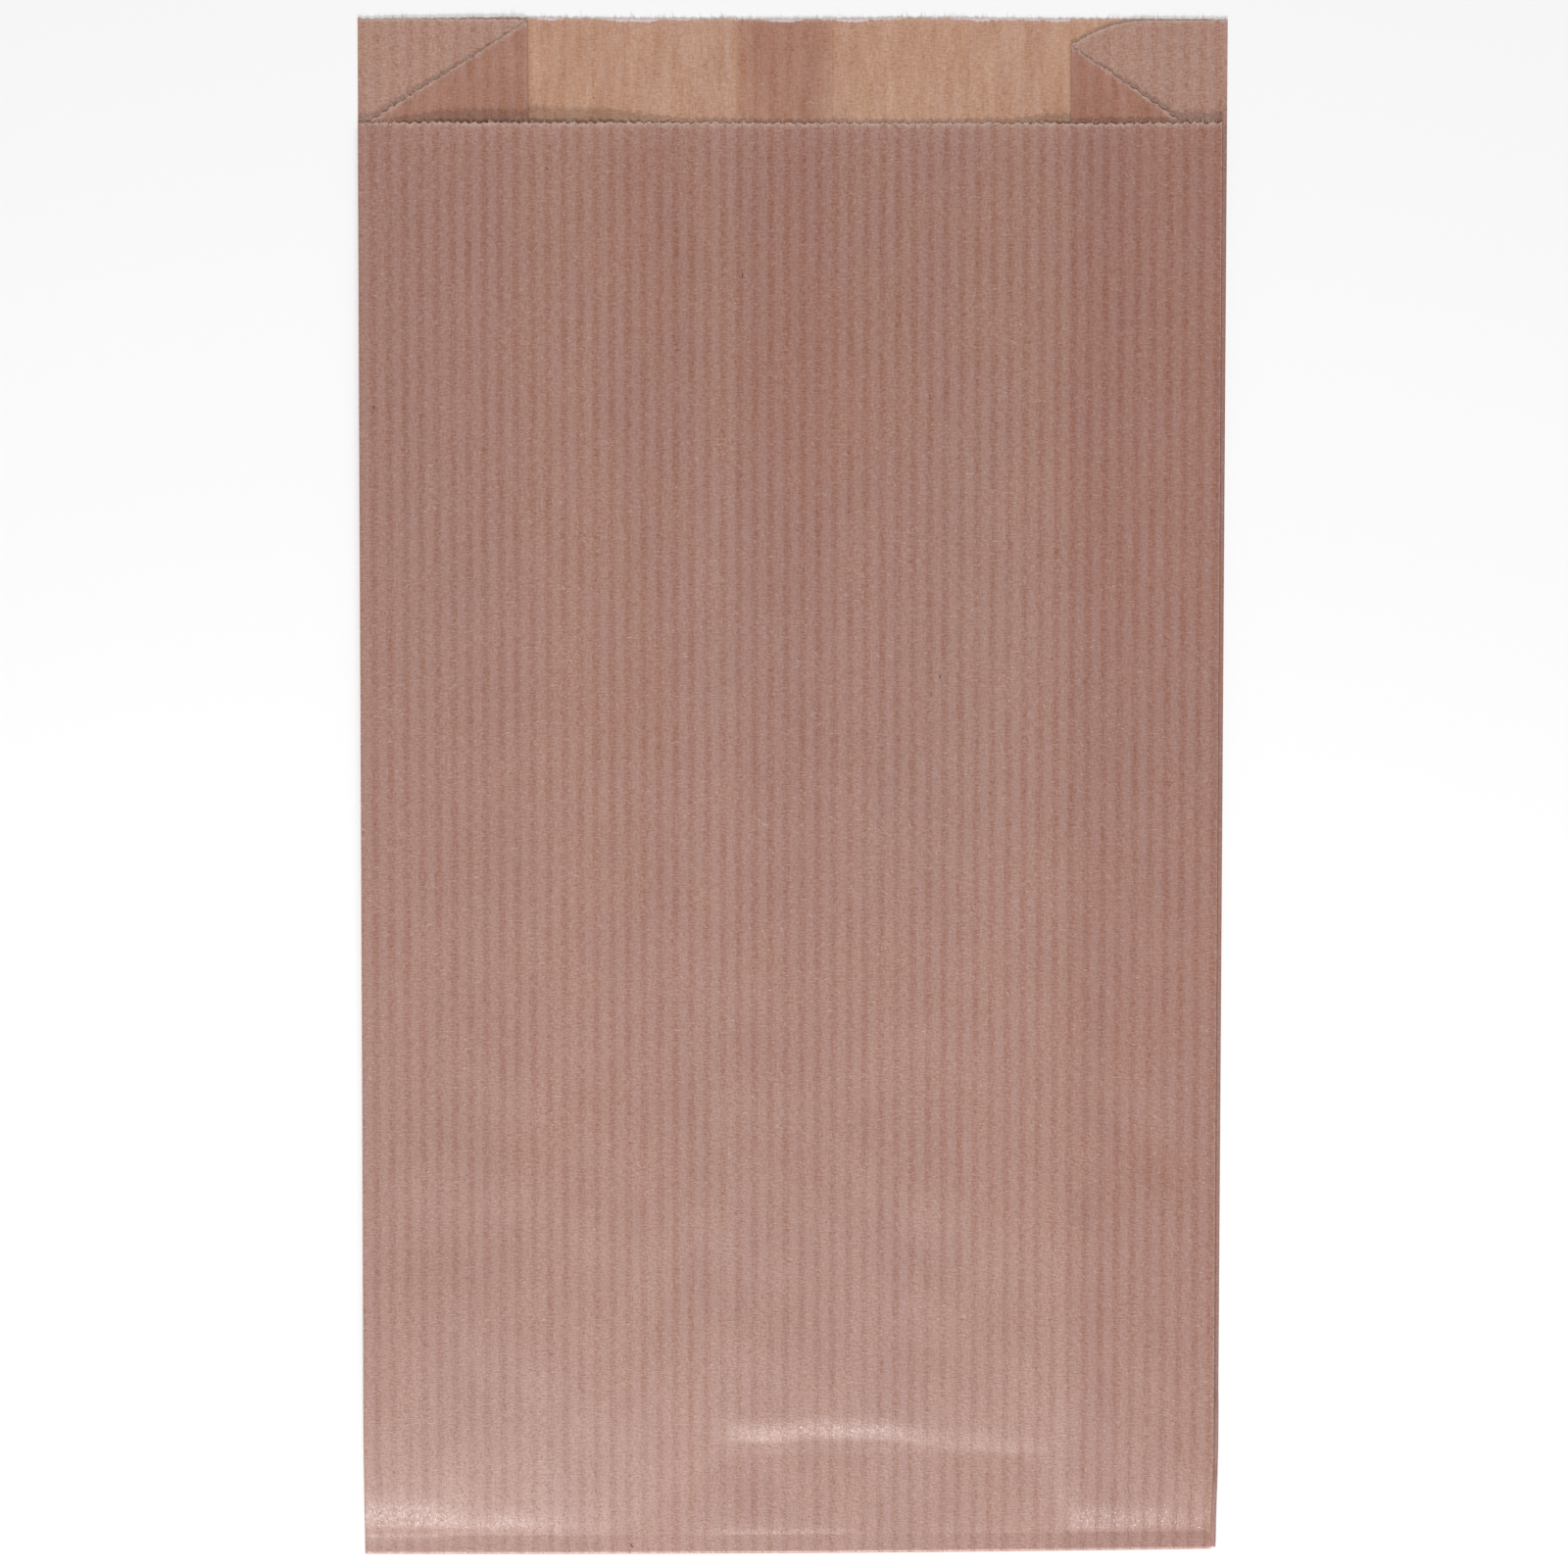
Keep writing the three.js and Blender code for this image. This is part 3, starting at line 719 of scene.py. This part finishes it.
def edge_loop(end, side):
    """The toothed cut's vertices, as one run for each step from station to station."""
    base = MOUTH_AT if end == "top" else -BEND_RUN - FLAP
    count = len(stations)

    def v_at(web):
        return base + cut_rise(web) + tooth_wave(end, web)

    corners = [build.add(s, side, v_at(s["web"]), 0.0) for s in stations]
    loops = []
    for i, a in enumerate(stations):
        b = stations[(i + 1) % count]
        inner = []
        run = b["web"] - a["web"]
        if run > 1.5 * EDGE_STEP:
            steps = int(round(run / EDGE_STEP))
            for k in range(1, steps):
                share = k / steps
                inner.append(build.add(a, side, v_at(mix(a["web"], b["web"], share)), 0.0, share, b))
        loops.append([corners[i], *inner, corners[(i + 1) % count]])
    return loops


def zip_edge(a, b, edge, flip):
    """Triangles from the grid's last two vertices to the finer run along the cut."""
    middle = (len(edge) - 1) // 2
    tris = [(a, edge[k + 1], edge[k]) for k in range(middle)]
    tris.append((a, b, edge[middle]))
    tris += [(b, edge[k + 1], edge[k]) for k in range(middle, len(edge) - 1)]
    for p, q, r in tris:
        build.faces.append((p, r, q) if flip else (p, q, r))


def build_bag():
    count = len(stations)
    loops = {}
    for side in (0, 1):
        grid = [[build.add(s, side, v, EDGE_BAND) for v in rows_of(s)] for s in stations]
        top, bottom = edge_loop("top", side), edge_loop("bottom", side)
        loops[side] = (top, bottom)
        for i in range(count):
            here, there = grid[i], grid[(i + 1) % count]
            for j in range(len(here) - 1):
                quad = (here[j], there[j], there[j + 1], here[j + 1])
                build.faces.append(quad[::-1] if side else quad)
            zip_edge(here[-1], there[-1], top[i], side == 1)
            zip_edge(here[0], there[0], bottom[i], side == 0)
    for end in (0, 1):
        for outer, inner in zip(loops[0][end], loops[1][end]):
            for k in range(len(outer) - 1):
                quad = (outer[k], outer[k + 1], inner[k + 1], inner[k])
                build.faces.append(quad if end == 0 else quad[::-1])


build_bag()
start_y = cad_box[0].y / MM + BEND_R + SKEW_REACH + FOLD_GAP / 2
points = np.array(build.points)
points[:, 1] += start_y
points *= MM

SHARP_FROM = math.radians(40)
mesh = bpy.data.meshes.new("paper_bag_sheet")
mesh.from_pydata(points.tolist(), [], build.faces)
mesh.validate()
web_attr = mesh.attributes.new("web", "FLOAT_VECTOR", "POINT")
web_attr.data.foreach_set("vector", (np.array(build.web) * [MM, MM, 1.0]).ravel())
for name, values in (("depth", build.depth), ("rim", build.rim), ("rubbed", build.rubbed)):
    attr = mesh.attributes.new(name, "FLOAT", "POINT")
    attr.data.foreach_set("value", np.array(values, dtype=float))
mesh.polygons.foreach_set("use_smooth", [True] * len(mesh.polygons))
mesh.set_sharp_from_angle(angle=SHARP_FROM)
bag = bpy.data.objects.new("paper_bag_sheet", mesh)
bpy.context.scene.collection.objects.link(bag)


# Materials: the paper takes its place along and across the web, its side, its depth, the distance to the
# cut (rim) and the polish (rubbed) from the mesh.


class Nodes:
    """Short calls for building a shader."""

    def __init__(self, material):
        material.use_nodes = True
        self.tree = material.node_tree
        self.tree.nodes.clear()

    def new(self, kind, inputs=None, **props):
        node = self.tree.nodes.new(kind)
        for key, value in props.items():
            setattr(node, key, value)
        for key, value in (inputs or {}).items():
            socket = node.inputs[key]
            if isinstance(value, bpy.types.NodeSocket):
                self.tree.links.new(value, socket)
            else:
                socket.default_value = value
        return node

    def math(self, operation, a, b=0.0):
        return self.new("ShaderNodeMath", {0: a, 1: b}, operation=operation).outputs[0]

    def ramp(self, value, low, high, out_low=0.0, out_high=1.0):
        inputs = {"Value": value, "From Min": low, "From Max": high, "To Min": out_low, "To Max": out_high}
        return self.new("ShaderNodeMapRange", inputs).outputs["Result"]

    def noise(self, vector, scale, detail=3.0, rough=0.55):
        inputs = {"Vector": vector, "Scale": scale, "Detail": detail, "Roughness": rough}
        return self.new("ShaderNodeTexNoise", inputs).outputs["Fac"]

    def mix_colour(self, factor, a, b, blend="MIX", clamp=True):
        node = self.new("ShaderNodeMix", data_type="RGBA", blend_type=blend, clamp_factor=clamp)
        for socket, value in ((node.inputs[0], factor), (node.inputs[6], a), (node.inputs[7], b)):
            if isinstance(value, bpy.types.NodeSocket):
                self.tree.links.new(value, socket)
            else:
                socket.default_value = value
        return node.outputs[2]

    def mix_value(self, factor, a, b):
        return self.new("ShaderNodeMix", {0: factor, 2: a, 3: b}, data_type="FLOAT").outputs[0]

    def stretched(self, vector, scale):
        inputs = {"Vector": vector, "Scale": scale}
        return self.new("ShaderNodeMapping", inputs).outputs["Vector"]

    def moved(self, vector, by):
        return self.new("ShaderNodeMapping", {"Vector": vector, "Location": (by, by, by)}).outputs["Vector"]

    def threads(self, vector, scale, half_width, broken):
        """Thin curled lines: the level lines of a smooth noise, broken up by another one."""
        level = self.math("ABSOLUTE", self.math("SUBTRACT", self.noise(vector, scale, 1.0, 0.5), 0.5))
        present = self.ramp(self.noise(vector, broken, 1.0, 0.5), 0.48, 0.56)
        return self.math("MULTIPLY", self.ramp(level, 0.0, half_width, 1.0, 0.0), present)


OUTSIDE = (0.391, 0.225, 0.173, 1.0)
OUTSIDE_WARM = (0.401, 0.223, 0.163, 1.0)
INSIDE = (0.416, 0.231, 0.156, 1.0)
INSIDE_WARM = (0.427, 0.227, 0.143, 1.0)
DEEP = (0.67, 0.505, 0.52, 1.0)
DENSE = (0.71, 0.50, 0.32, 1.0)
DEEP_AT = 1.5
WHITE = (1.0, 1.0, 1.0, 1.0)
PAINTED_GLAZE_SHEEN = (0.50, 0.40, 0.385, 1.0)
RIM_PALE = (0.50, 0.355, 0.30, 1.0)
RIM_LILAC = (0.64, 0.545, 0.57, 1.0)
SPECK_DARK = (0.10, 0.055, 0.045, 1.0)
BARK = (0.075, 0.03, 0.02, 1.0)
TORN_FIBRE = (0.56, 0.41, 0.345, 1.0)
CURLED_FIBRE = (0.62, 0.47, 0.40, 1.0)
TABLE_WHITE = (0.88, 0.88, 0.88, 1.0)

# The paper's noises: how each is stretched across and along the web and by side, its scale, detail and
# roughness
NOISES = {
    "ragged": ((1, 0.8, 1), 1300, 3, 0.7),
    "uneven": ((1, 0.22, 1), 420, 3, 0.65),
    "cloud": ((1, 0.45, 1), 150, 4, 0.6),
    "streaks": ((1, 0.2, 1), 480, 4, 0.62),
    "grain": ((1, 1, 1), 2300, 2, 0.7),
    "dashes": ((0.28, 1.25, 1), 3300, 2, 0.6),
    "fibre": ((1, 0.25, 1), 2900, 2, 0.6),
    "drift": ((1, 0.4, 1), 22, 2, 0.5),
    "tear": ((1, 0.35, 1), 1700, 3, 0.7),
    "thinned": ((1, 0, 0), 95, 2, 0.6),
    "spots": ((1, 1, 1), 1500, 2, 0.65),
}
RIB_WANDER = 0.0002
GLAZED_ROUGH = (0.35, 0.41)
POLISHED_ROUGH = 0.24
INSIDE_ROUGH = 0.75
FIBRE_ROUGH = 0.8
TABLE_ROUGH = 0.9
BUMP_OUTSIDE = 0.9
BUMP_INSIDE = 0.5
BUMP_DISTANCE = 0.00003
SPECULAR = 0.62
LIP_FRAYED = (MOUTH_AT + LIP - 3, MOUTH_AT + LIP - 1)


def paper_material():
    material = bpy.data.materials.new("brown_kraft")
    n = Nodes(material)
    web = n.new("ShaderNodeAttribute", attribute_name="web").outputs["Vector"]
    depth = n.new("ShaderNodeAttribute", attribute_name="depth").outputs["Fac"]
    rim = n.new("ShaderNodeAttribute", attribute_name="rim").outputs["Fac"]
    polish = n.new("ShaderNodeAttribute", attribute_name="rubbed").outputs["Fac"]
    parts = n.new("ShaderNodeSeparateXYZ", {0: web})
    across, side = parts.outputs["X"], parts.outputs["Z"]
    noise = {name: n.noise(n.stretched(web, stretch), *rest) for name, (stretch, *rest) in NOISES.items()}
    cloud, grain, dashes, fibre = (noise[name] for name in ("cloud", "grain", "dashes", "fibre"))

    # Fine ribs run along the web: soft warm lines, unevenly strong, with ragged sides.
    across = n.math("ADD", across, n.ramp(noise["ragged"], 0.3, 0.7, -RIB_WANDER, RIB_WANDER))
    phase = n.math("MULTIPLY", across, 2 * math.pi / (RIB_PITCH * MM))
    wave = n.math("COSINE", phase)
    line = n.math("POWER", n.ramp(wave, -0.55, 1.0), 1.5)
    line = n.math("MULTIPLY", line, n.ramp(noise["uneven"], 0.32, 0.68, 0.35, 1.25))
    line_out = n.ramp(depth, 0.3, 1.0, 0.60, 1.0)
    line_in = n.ramp(depth, 0.0, 1.2, 0.14, 0.40)
    line = n.math("MULTIPLY", line, n.mix_value(side, line_out, line_in))

    # Thick places and the painted shade of plies under the paper shift the tone, ribs and dense fibres make it
    # redder.
    curls = n.threads(web, 640, 0.020, 1500)
    dark_curls = n.threads(n.moved(web, 3.7), 830, 0.018, 1200)
    deeper = n.math("ADD", n.ramp(cloud, 0.3, 0.7, -0.17, 0.17), n.math("SUBTRACT", depth, 0.14))
    streaks = n.ramp(noise["streaks"], 0.3, 0.7, -1.0, 1.0)
    dense = n.math("MULTIPLY", streaks, n.mix_value(side, 0.13, 0.50))
    felt = n.math("ADD", n.ramp(grain, 0.25, 0.75, -0.62, 0.62), n.ramp(dashes, 0.25, 0.75, -0.62, 0.62))
    felt = n.math("ADD", felt, n.ramp(fibre, 0.25, 0.75, -0.42, 0.42))
    dense = n.math("ADD", dense, n.math("MULTIPLY", felt, n.mix_value(side, 1.3, 1.05)))
    dense = n.math("ADD", dense, n.math("MULTIPLY", line, 0.46))
    dense = n.math("ADD", dense, n.math("MULTIPLY", dark_curls, 0.35))

    warm = n.ramp(noise["drift"], 0.38, 0.62)
    outside = n.mix_colour(warm, OUTSIDE, OUTSIDE_WARM)
    inside = n.mix_colour(warm, INSIDE, INSIDE_WARM)
    colour = n.mix_colour(side, outside, inside)
    for amount, tint in ((deeper, DEEP), (dense, DENSE)):
        tone = n.mix_colour(n.math("DIVIDE", amount, DEEP_AT), WHITE, tint, clamp=False)
        colour = n.mix_colour(1.0, colour, tone, "MULTIPLY")

    # Painted sheen of the glaze: a pale haze between the ribs.
    painted_sheen = n.math("MULTIPLY", n.ramp(wave, 0.5, -0.6), n.ramp(dashes, 0.35, 0.65, 0.4, 1.0))
    painted_sheen = n.math("MULTIPLY", painted_sheen, n.ramp(cloud, 0.35, 0.6, 0.03, 0.12))
    # Painted glints: pale curled fibres, stronger where the glaze is rubbed
    painted_sheen = n.math("ADD", painted_sheen, n.math("MULTIPLY", curls, n.ramp(polish, 0.0, 1.0, 0.16, 0.40)))
    colour = n.mix_colour(painted_sheen, colour, PAINTED_GLAZE_SHEEN)

    # Thin, pale torn fibres towards the cut edges, palest on the lip, their paleness partly painted light
    # through the thin edge and on its curl; a few dark specks
    tear = noise["tear"]
    reach = n.math("ADD", rim, n.ramp(tear, 0.3, 0.7, -0.45, 0.75))
    colour = n.mix_colour(n.math("MULTIPLY", n.ramp(reach, 0.0, 0.90, 1.0, 0.0), 0.55), colour, RIM_PALE)
    on_lip = n.ramp(parts.outputs["Y"], LIP_FRAYED[0] * MM, LIP_FRAYED[1] * MM)
    lip_left = n.ramp(parts.outputs["X"], LIP_WEB_LEFT * MM, (LIP_WEB_LEFT - 0.3) * MM)
    lip_right = n.ramp(parts.outputs["X"], LIP_WEB_RIGHT * MM, (LIP_WEB_RIGHT + 0.3) * MM)
    on_lip = n.math("MULTIPLY", on_lip, n.math("ADD", lip_left, lip_right))
    thinned = n.ramp(noise["thinned"], 0.42, 0.60, -0.05, 0.50)
    frayed = n.math("SUBTRACT", n.math("ADD", rim, n.ramp(tear, 0.3, 0.7, -0.12, 0.16)), thinned)
    lilac = n.math("MULTIPLY", n.math("MULTIPLY", side, on_lip), n.ramp(frayed, 0.0, 0.10, 0.85, 0.0))
    colour = n.mix_colour(lilac, colour, RIM_LILAC)
    cells = n.new("ShaderNodeTexVoronoi", {"Vector": web, "Scale": 62.0, "Randomness": 1.0})
    speck = n.ramp(cells.outputs["Distance"], 0.016, 0.009, 0.0, 0.55)
    colour = n.mix_colour(speck, colour, SPECK_DARK)

    # The outside is machine-glazed, the inside matt. Rubbed places shine in spots.
    glazed = n.ramp(cloud, 0.3, 0.7, *GLAZED_ROUGH)
    spots = n.ramp(noise["spots"], 0.40, 0.60, 0.25, 1.0)
    glazed = n.mix_value(n.math("MULTIPLY", polish, spots), glazed, POLISHED_ROUGH)
    rough = n.mix_value(side, glazed, INSIDE_ROUGH)
    height = n.math("ADD", n.math("MULTIPLY", line, -0.6), n.math("MULTIPLY", grain, 0.9))
    height = n.math("ADD", height, n.math("MULTIPLY", dashes, 0.5))
    height = n.math("ADD", height, n.math("MULTIPLY", fibre, 0.6))
    height = n.math("ADD", height, n.math("MULTIPLY", curls, 0.7))
    strength = n.mix_value(side, BUMP_OUTSIDE, BUMP_INSIDE)
    bump = n.new("ShaderNodeBump", {"Strength": strength, "Distance": BUMP_DISTANCE, "Height": height})
    surface = {"Base Color": colour, "Roughness": rough, "Normal": bump.outputs[0]}
    shader = n.new("ShaderNodeBsdfPrincipled", surface)
    shader.inputs["Specular IOR Level"].default_value = SPECULAR
    n.new("ShaderNodeOutputMaterial", {"Surface": shader.outputs[0]})
    return material


def plain_material(name, colour, roughness):
    material = bpy.data.materials.new(name)
    n = Nodes(material)
    shader = n.new("ShaderNodeBsdfPrincipled", {"Base Color": colour, "Roughness": roughness})
    n.new("ShaderNodeOutputMaterial", {"Surface": shader.outputs[0]})
    return material


mesh.materials.append(paper_material())
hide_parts("paper_bag")
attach(bag, "root")


# Loose fibres along the toothed mouth: how many to a millimetre, how far back of the cut they start, and
# their mean lengths past the shortest
FIBRES_PER_MM = 7.0
LIP_FIBRES_PER_MM = 9.0
FIBRE_BACK = 0.35
FIBRE_SHORTEST = 0.12
FIBRE_LONGEST = 1.3
FIBRE_MORE = 0.30
LIP_FIBRE_MORE = 0.26
FIBRE_WIDTHS = (0.035, 0.06)
FIBRE_RISES = (-0.02, 0.12)
FIBRE_SPREAD = 38
FIBRE_CURL = 1.1
FIBRE_OVER = 0.01
FIBRE_LENGTHS = 3
FIBRE_TAPER = 0.6
LAP_EDGE = 0.5


def edge_point(web, v):
    """A place on top of the sheet, from its place along the web."""
    webs = [s["web"] for s in stations]
    i = max(0, min(len(stations) - 2, int(np.searchsorted(webs, web)) - 1))
    a, b = stations[i], stations[i + 1]
    share = (web - a["web"]) / max(1e-6, b["web"] - a["web"])
    places = [surface_point(s, 0, v)[0] for s in (a, b)]
    tops = [max(surface_point(s, 0, v)[1], surface_point(s, 1, v)[1]) for s in (a, b)]
    return folded(mix(*places, share), v, mix(*tops, share))


def add_fibre(verts, faces, start, heading, length, width, curl, rise):
    """A thin curved ribbon of a few straight lengths, lying nearly flat."""
    x, y, z = start
    first = len(verts)
    for k in range(FIBRE_LENGTHS + 1):
        half = width * (1 - FIBRE_TAPER * k / FIBRE_LENGTHS) / 2
        sx, sy = -math.sin(heading), math.cos(heading)
        verts.append(((x - sx * half) * MM, (y - sy * half) * MM, z * MM))
        verts.append(((x + sx * half) * MM, (y + sy * half) * MM, z * MM))
        x += math.cos(heading) * length / FIBRE_LENGTHS
        y += math.sin(heading) * length / FIBRE_LENGTHS
        z += rise * length / FIBRE_LENGTHS
        heading += curl / FIBRE_LENGTHS
    for k in range(FIBRE_LENGTHS):
        a = first + 2 * k
        faces.append((a, a + 1, a + 3, a + 2))


def mouth_fibres():
    verts, faces = [], []
    web = LAP_EDGE
    while web < web_length - LAP_EDGE:
        lip = web < front_from - GUSSET_LEFT or web > front_to + GUSSET_RIGHT
        web += rng.expovariate(LIP_FIBRES_PER_MM if lip else FIBRES_PER_MM)
        if web >= web_length - LAP_EDGE:
            break
        v = MOUTH_AT + cut_rise(web) + tooth_wave("top", web) - rng.uniform(0.0, FIBRE_BACK)
        x, y, z = edge_point(web, v)
        heading = math.radians(rng.gauss(90, FIBRE_SPREAD))
        more = rng.expovariate(1 / (LIP_FIBRE_MORE if lip else FIBRE_MORE))
        length = min(FIBRE_LONGEST, FIBRE_SHORTEST + more)
        place = (x, y + start_y, z + FIBRE_OVER)
        width, curl, rise = rng.uniform(*FIBRE_WIDTHS), rng.gauss(0, FIBRE_CURL), rng.uniform(*FIBRE_RISES)
        add_fibre(verts, faces, place, heading, length, width, curl, rise)
    return verts, faces


def loose_piece(name, shape, colour, material_name):
    loose_mesh = bpy.data.meshes.new(name)
    loose_mesh.from_pydata(shape[0], [], shape[1])
    piece = bpy.data.objects.new(name, loose_mesh)
    bpy.context.scene.collection.objects.link(piece)
    loose_mesh.materials.append(plain_material(material_name, colour, FIBRE_ROUGH))
    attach(piece, "root")


loose_piece("mouth_fuzz", mouth_fibres(), TORN_FIBRE, "kraft_fibre")


# Bark specks and curled fibres on the sheet: place in mm from the bag's middle, length, heading in degrees
# and curl in radians
SPECK_WIDTH = 0.22
CURL_WIDTH = 0.10
SPECK_OVER = 0.02
DARK_SPECKS = [
    (-67.6, 62.5, 0.5, 70, 0.4),
    (-8.1, 83.6, 0.8, 75, 0.9),
    (24.0, 18.9, 0.6, 85, 0.3),
    (-26.0, -124.0, 0.9, 120, 0.8),
    (-39.5, 100.9, 0.5, 100, 0.5),
]
PALE_CURLS = [
    (3.4, 111.6, 1.5, 150, 1.6),
    (-47.8, -110.9, 1.6, 60, 1.4),
    (-33.0, 113.5, 1.1, 80, 0.9),
]


def lying(specks, width):
    """Specks flat on the front, or on the lip's inside past the front's cut."""
    verts, faces = [], []
    for x, y, length, heading, curl in specks:
        v = y - start_y
        n = max(0.0, from_bend(x, v))
        if v < MOUTH_AT:
            z = front_top(x, n) + PAPER / 2 + lift(x, n)
        else:
            z = back_height(x, n) + 1.6 * PAPER
        add_fibre(verts, faces, (x, y, z + SPECK_OVER), math.radians(heading), length, width, curl, 0.0)
    return verts, faces


loose_piece("bark_specks", lying(DARK_SPECKS, SPECK_WIDTH), BARK, "bark_specks")
loose_piece("curled_fibres", lying(PALE_CURLS, CURL_WIDTH), CURLED_FIBRE, "curled_fibres")


# The table, lights and camera, in metres

FLOOR_HALF = 1.6
FLOOR_UNDER = 0.00002
floor_mesh = bpy.data.meshes.new("table")
floor_corners = [
    (x * FLOOR_HALF, y * FLOOR_HALF, -FLOOR_UNDER) for x, y in ((-1, -1), (1, -1), (1, 1), (-1, 1))
]
floor_mesh.from_pydata(floor_corners, [], [(0, 1, 2, 3)])
floor = bpy.data.objects.new("table", floor_mesh)
bpy.context.scene.collection.objects.link(floor)
floor_mesh.materials.append(plain_material("table_white", TABLE_WHITE, TABLE_ROUGH))


def area_light(name, place, size, power):
    """A rectangular light that faces the bag's middle."""
    data = bpy.data.lights.new(name, "AREA")
    data.shape = "RECTANGLE"
    data.size, data.size_y = size
    data.energy = power
    light = bpy.data.objects.new(name, data)
    light.location = place
    light.rotation_mode = "QUATERNION"
    light.rotation_quaternion = (-Vector(place)).to_track_quat("-Z", "Y")
    bpy.context.scene.collection.objects.link(light)


area_light("window", (-0.12, -0.62, 1.27), (0.52, 0.36), 8.0)
area_light("lamp", (-0.03, -1.20, 0.56), (0.12, 0.12), 14.2)
area_light("fill", (0.2, 1.2, 0.8), (1.0, 0.8), 6.2)

WORLD_STRENGTH = 0.303
world = bpy.data.worlds.new("studio")
bpy.context.scene.world = world
world.use_nodes = True
background = world.node_tree.nodes["Background"]
background.inputs["Color"].default_value = WHITE
background.inputs["Strength"].default_value = WORLD_STRENGTH

CAMERA_DISTANCE = 1.0
CAMERA_TILT = math.radians(4.77)
CAMERA_ROLL = math.radians(0.05)
CAMERA_LENS = 141.36
CAMERA_AIM = Vector((-0.00135, 0.00167, 0.001))
camera_data = bpy.data.cameras.new("camera")
camera = bpy.data.objects.new("camera", camera_data)
camera_data.sensor_width = 36.0
camera_data.lens = CAMERA_LENS
camera.location = CAMERA_AIM + CAMERA_DISTANCE * Vector((0.0, math.sin(CAMERA_TILT), math.cos(CAMERA_TILT)))
camera.rotation_euler = (-CAMERA_TILT, 0.0, CAMERA_ROLL)
bpy.context.scene.collection.objects.link(camera)
bpy.context.scene.camera = camera
bpy.context.scene.view_settings.view_transform = "Standard"
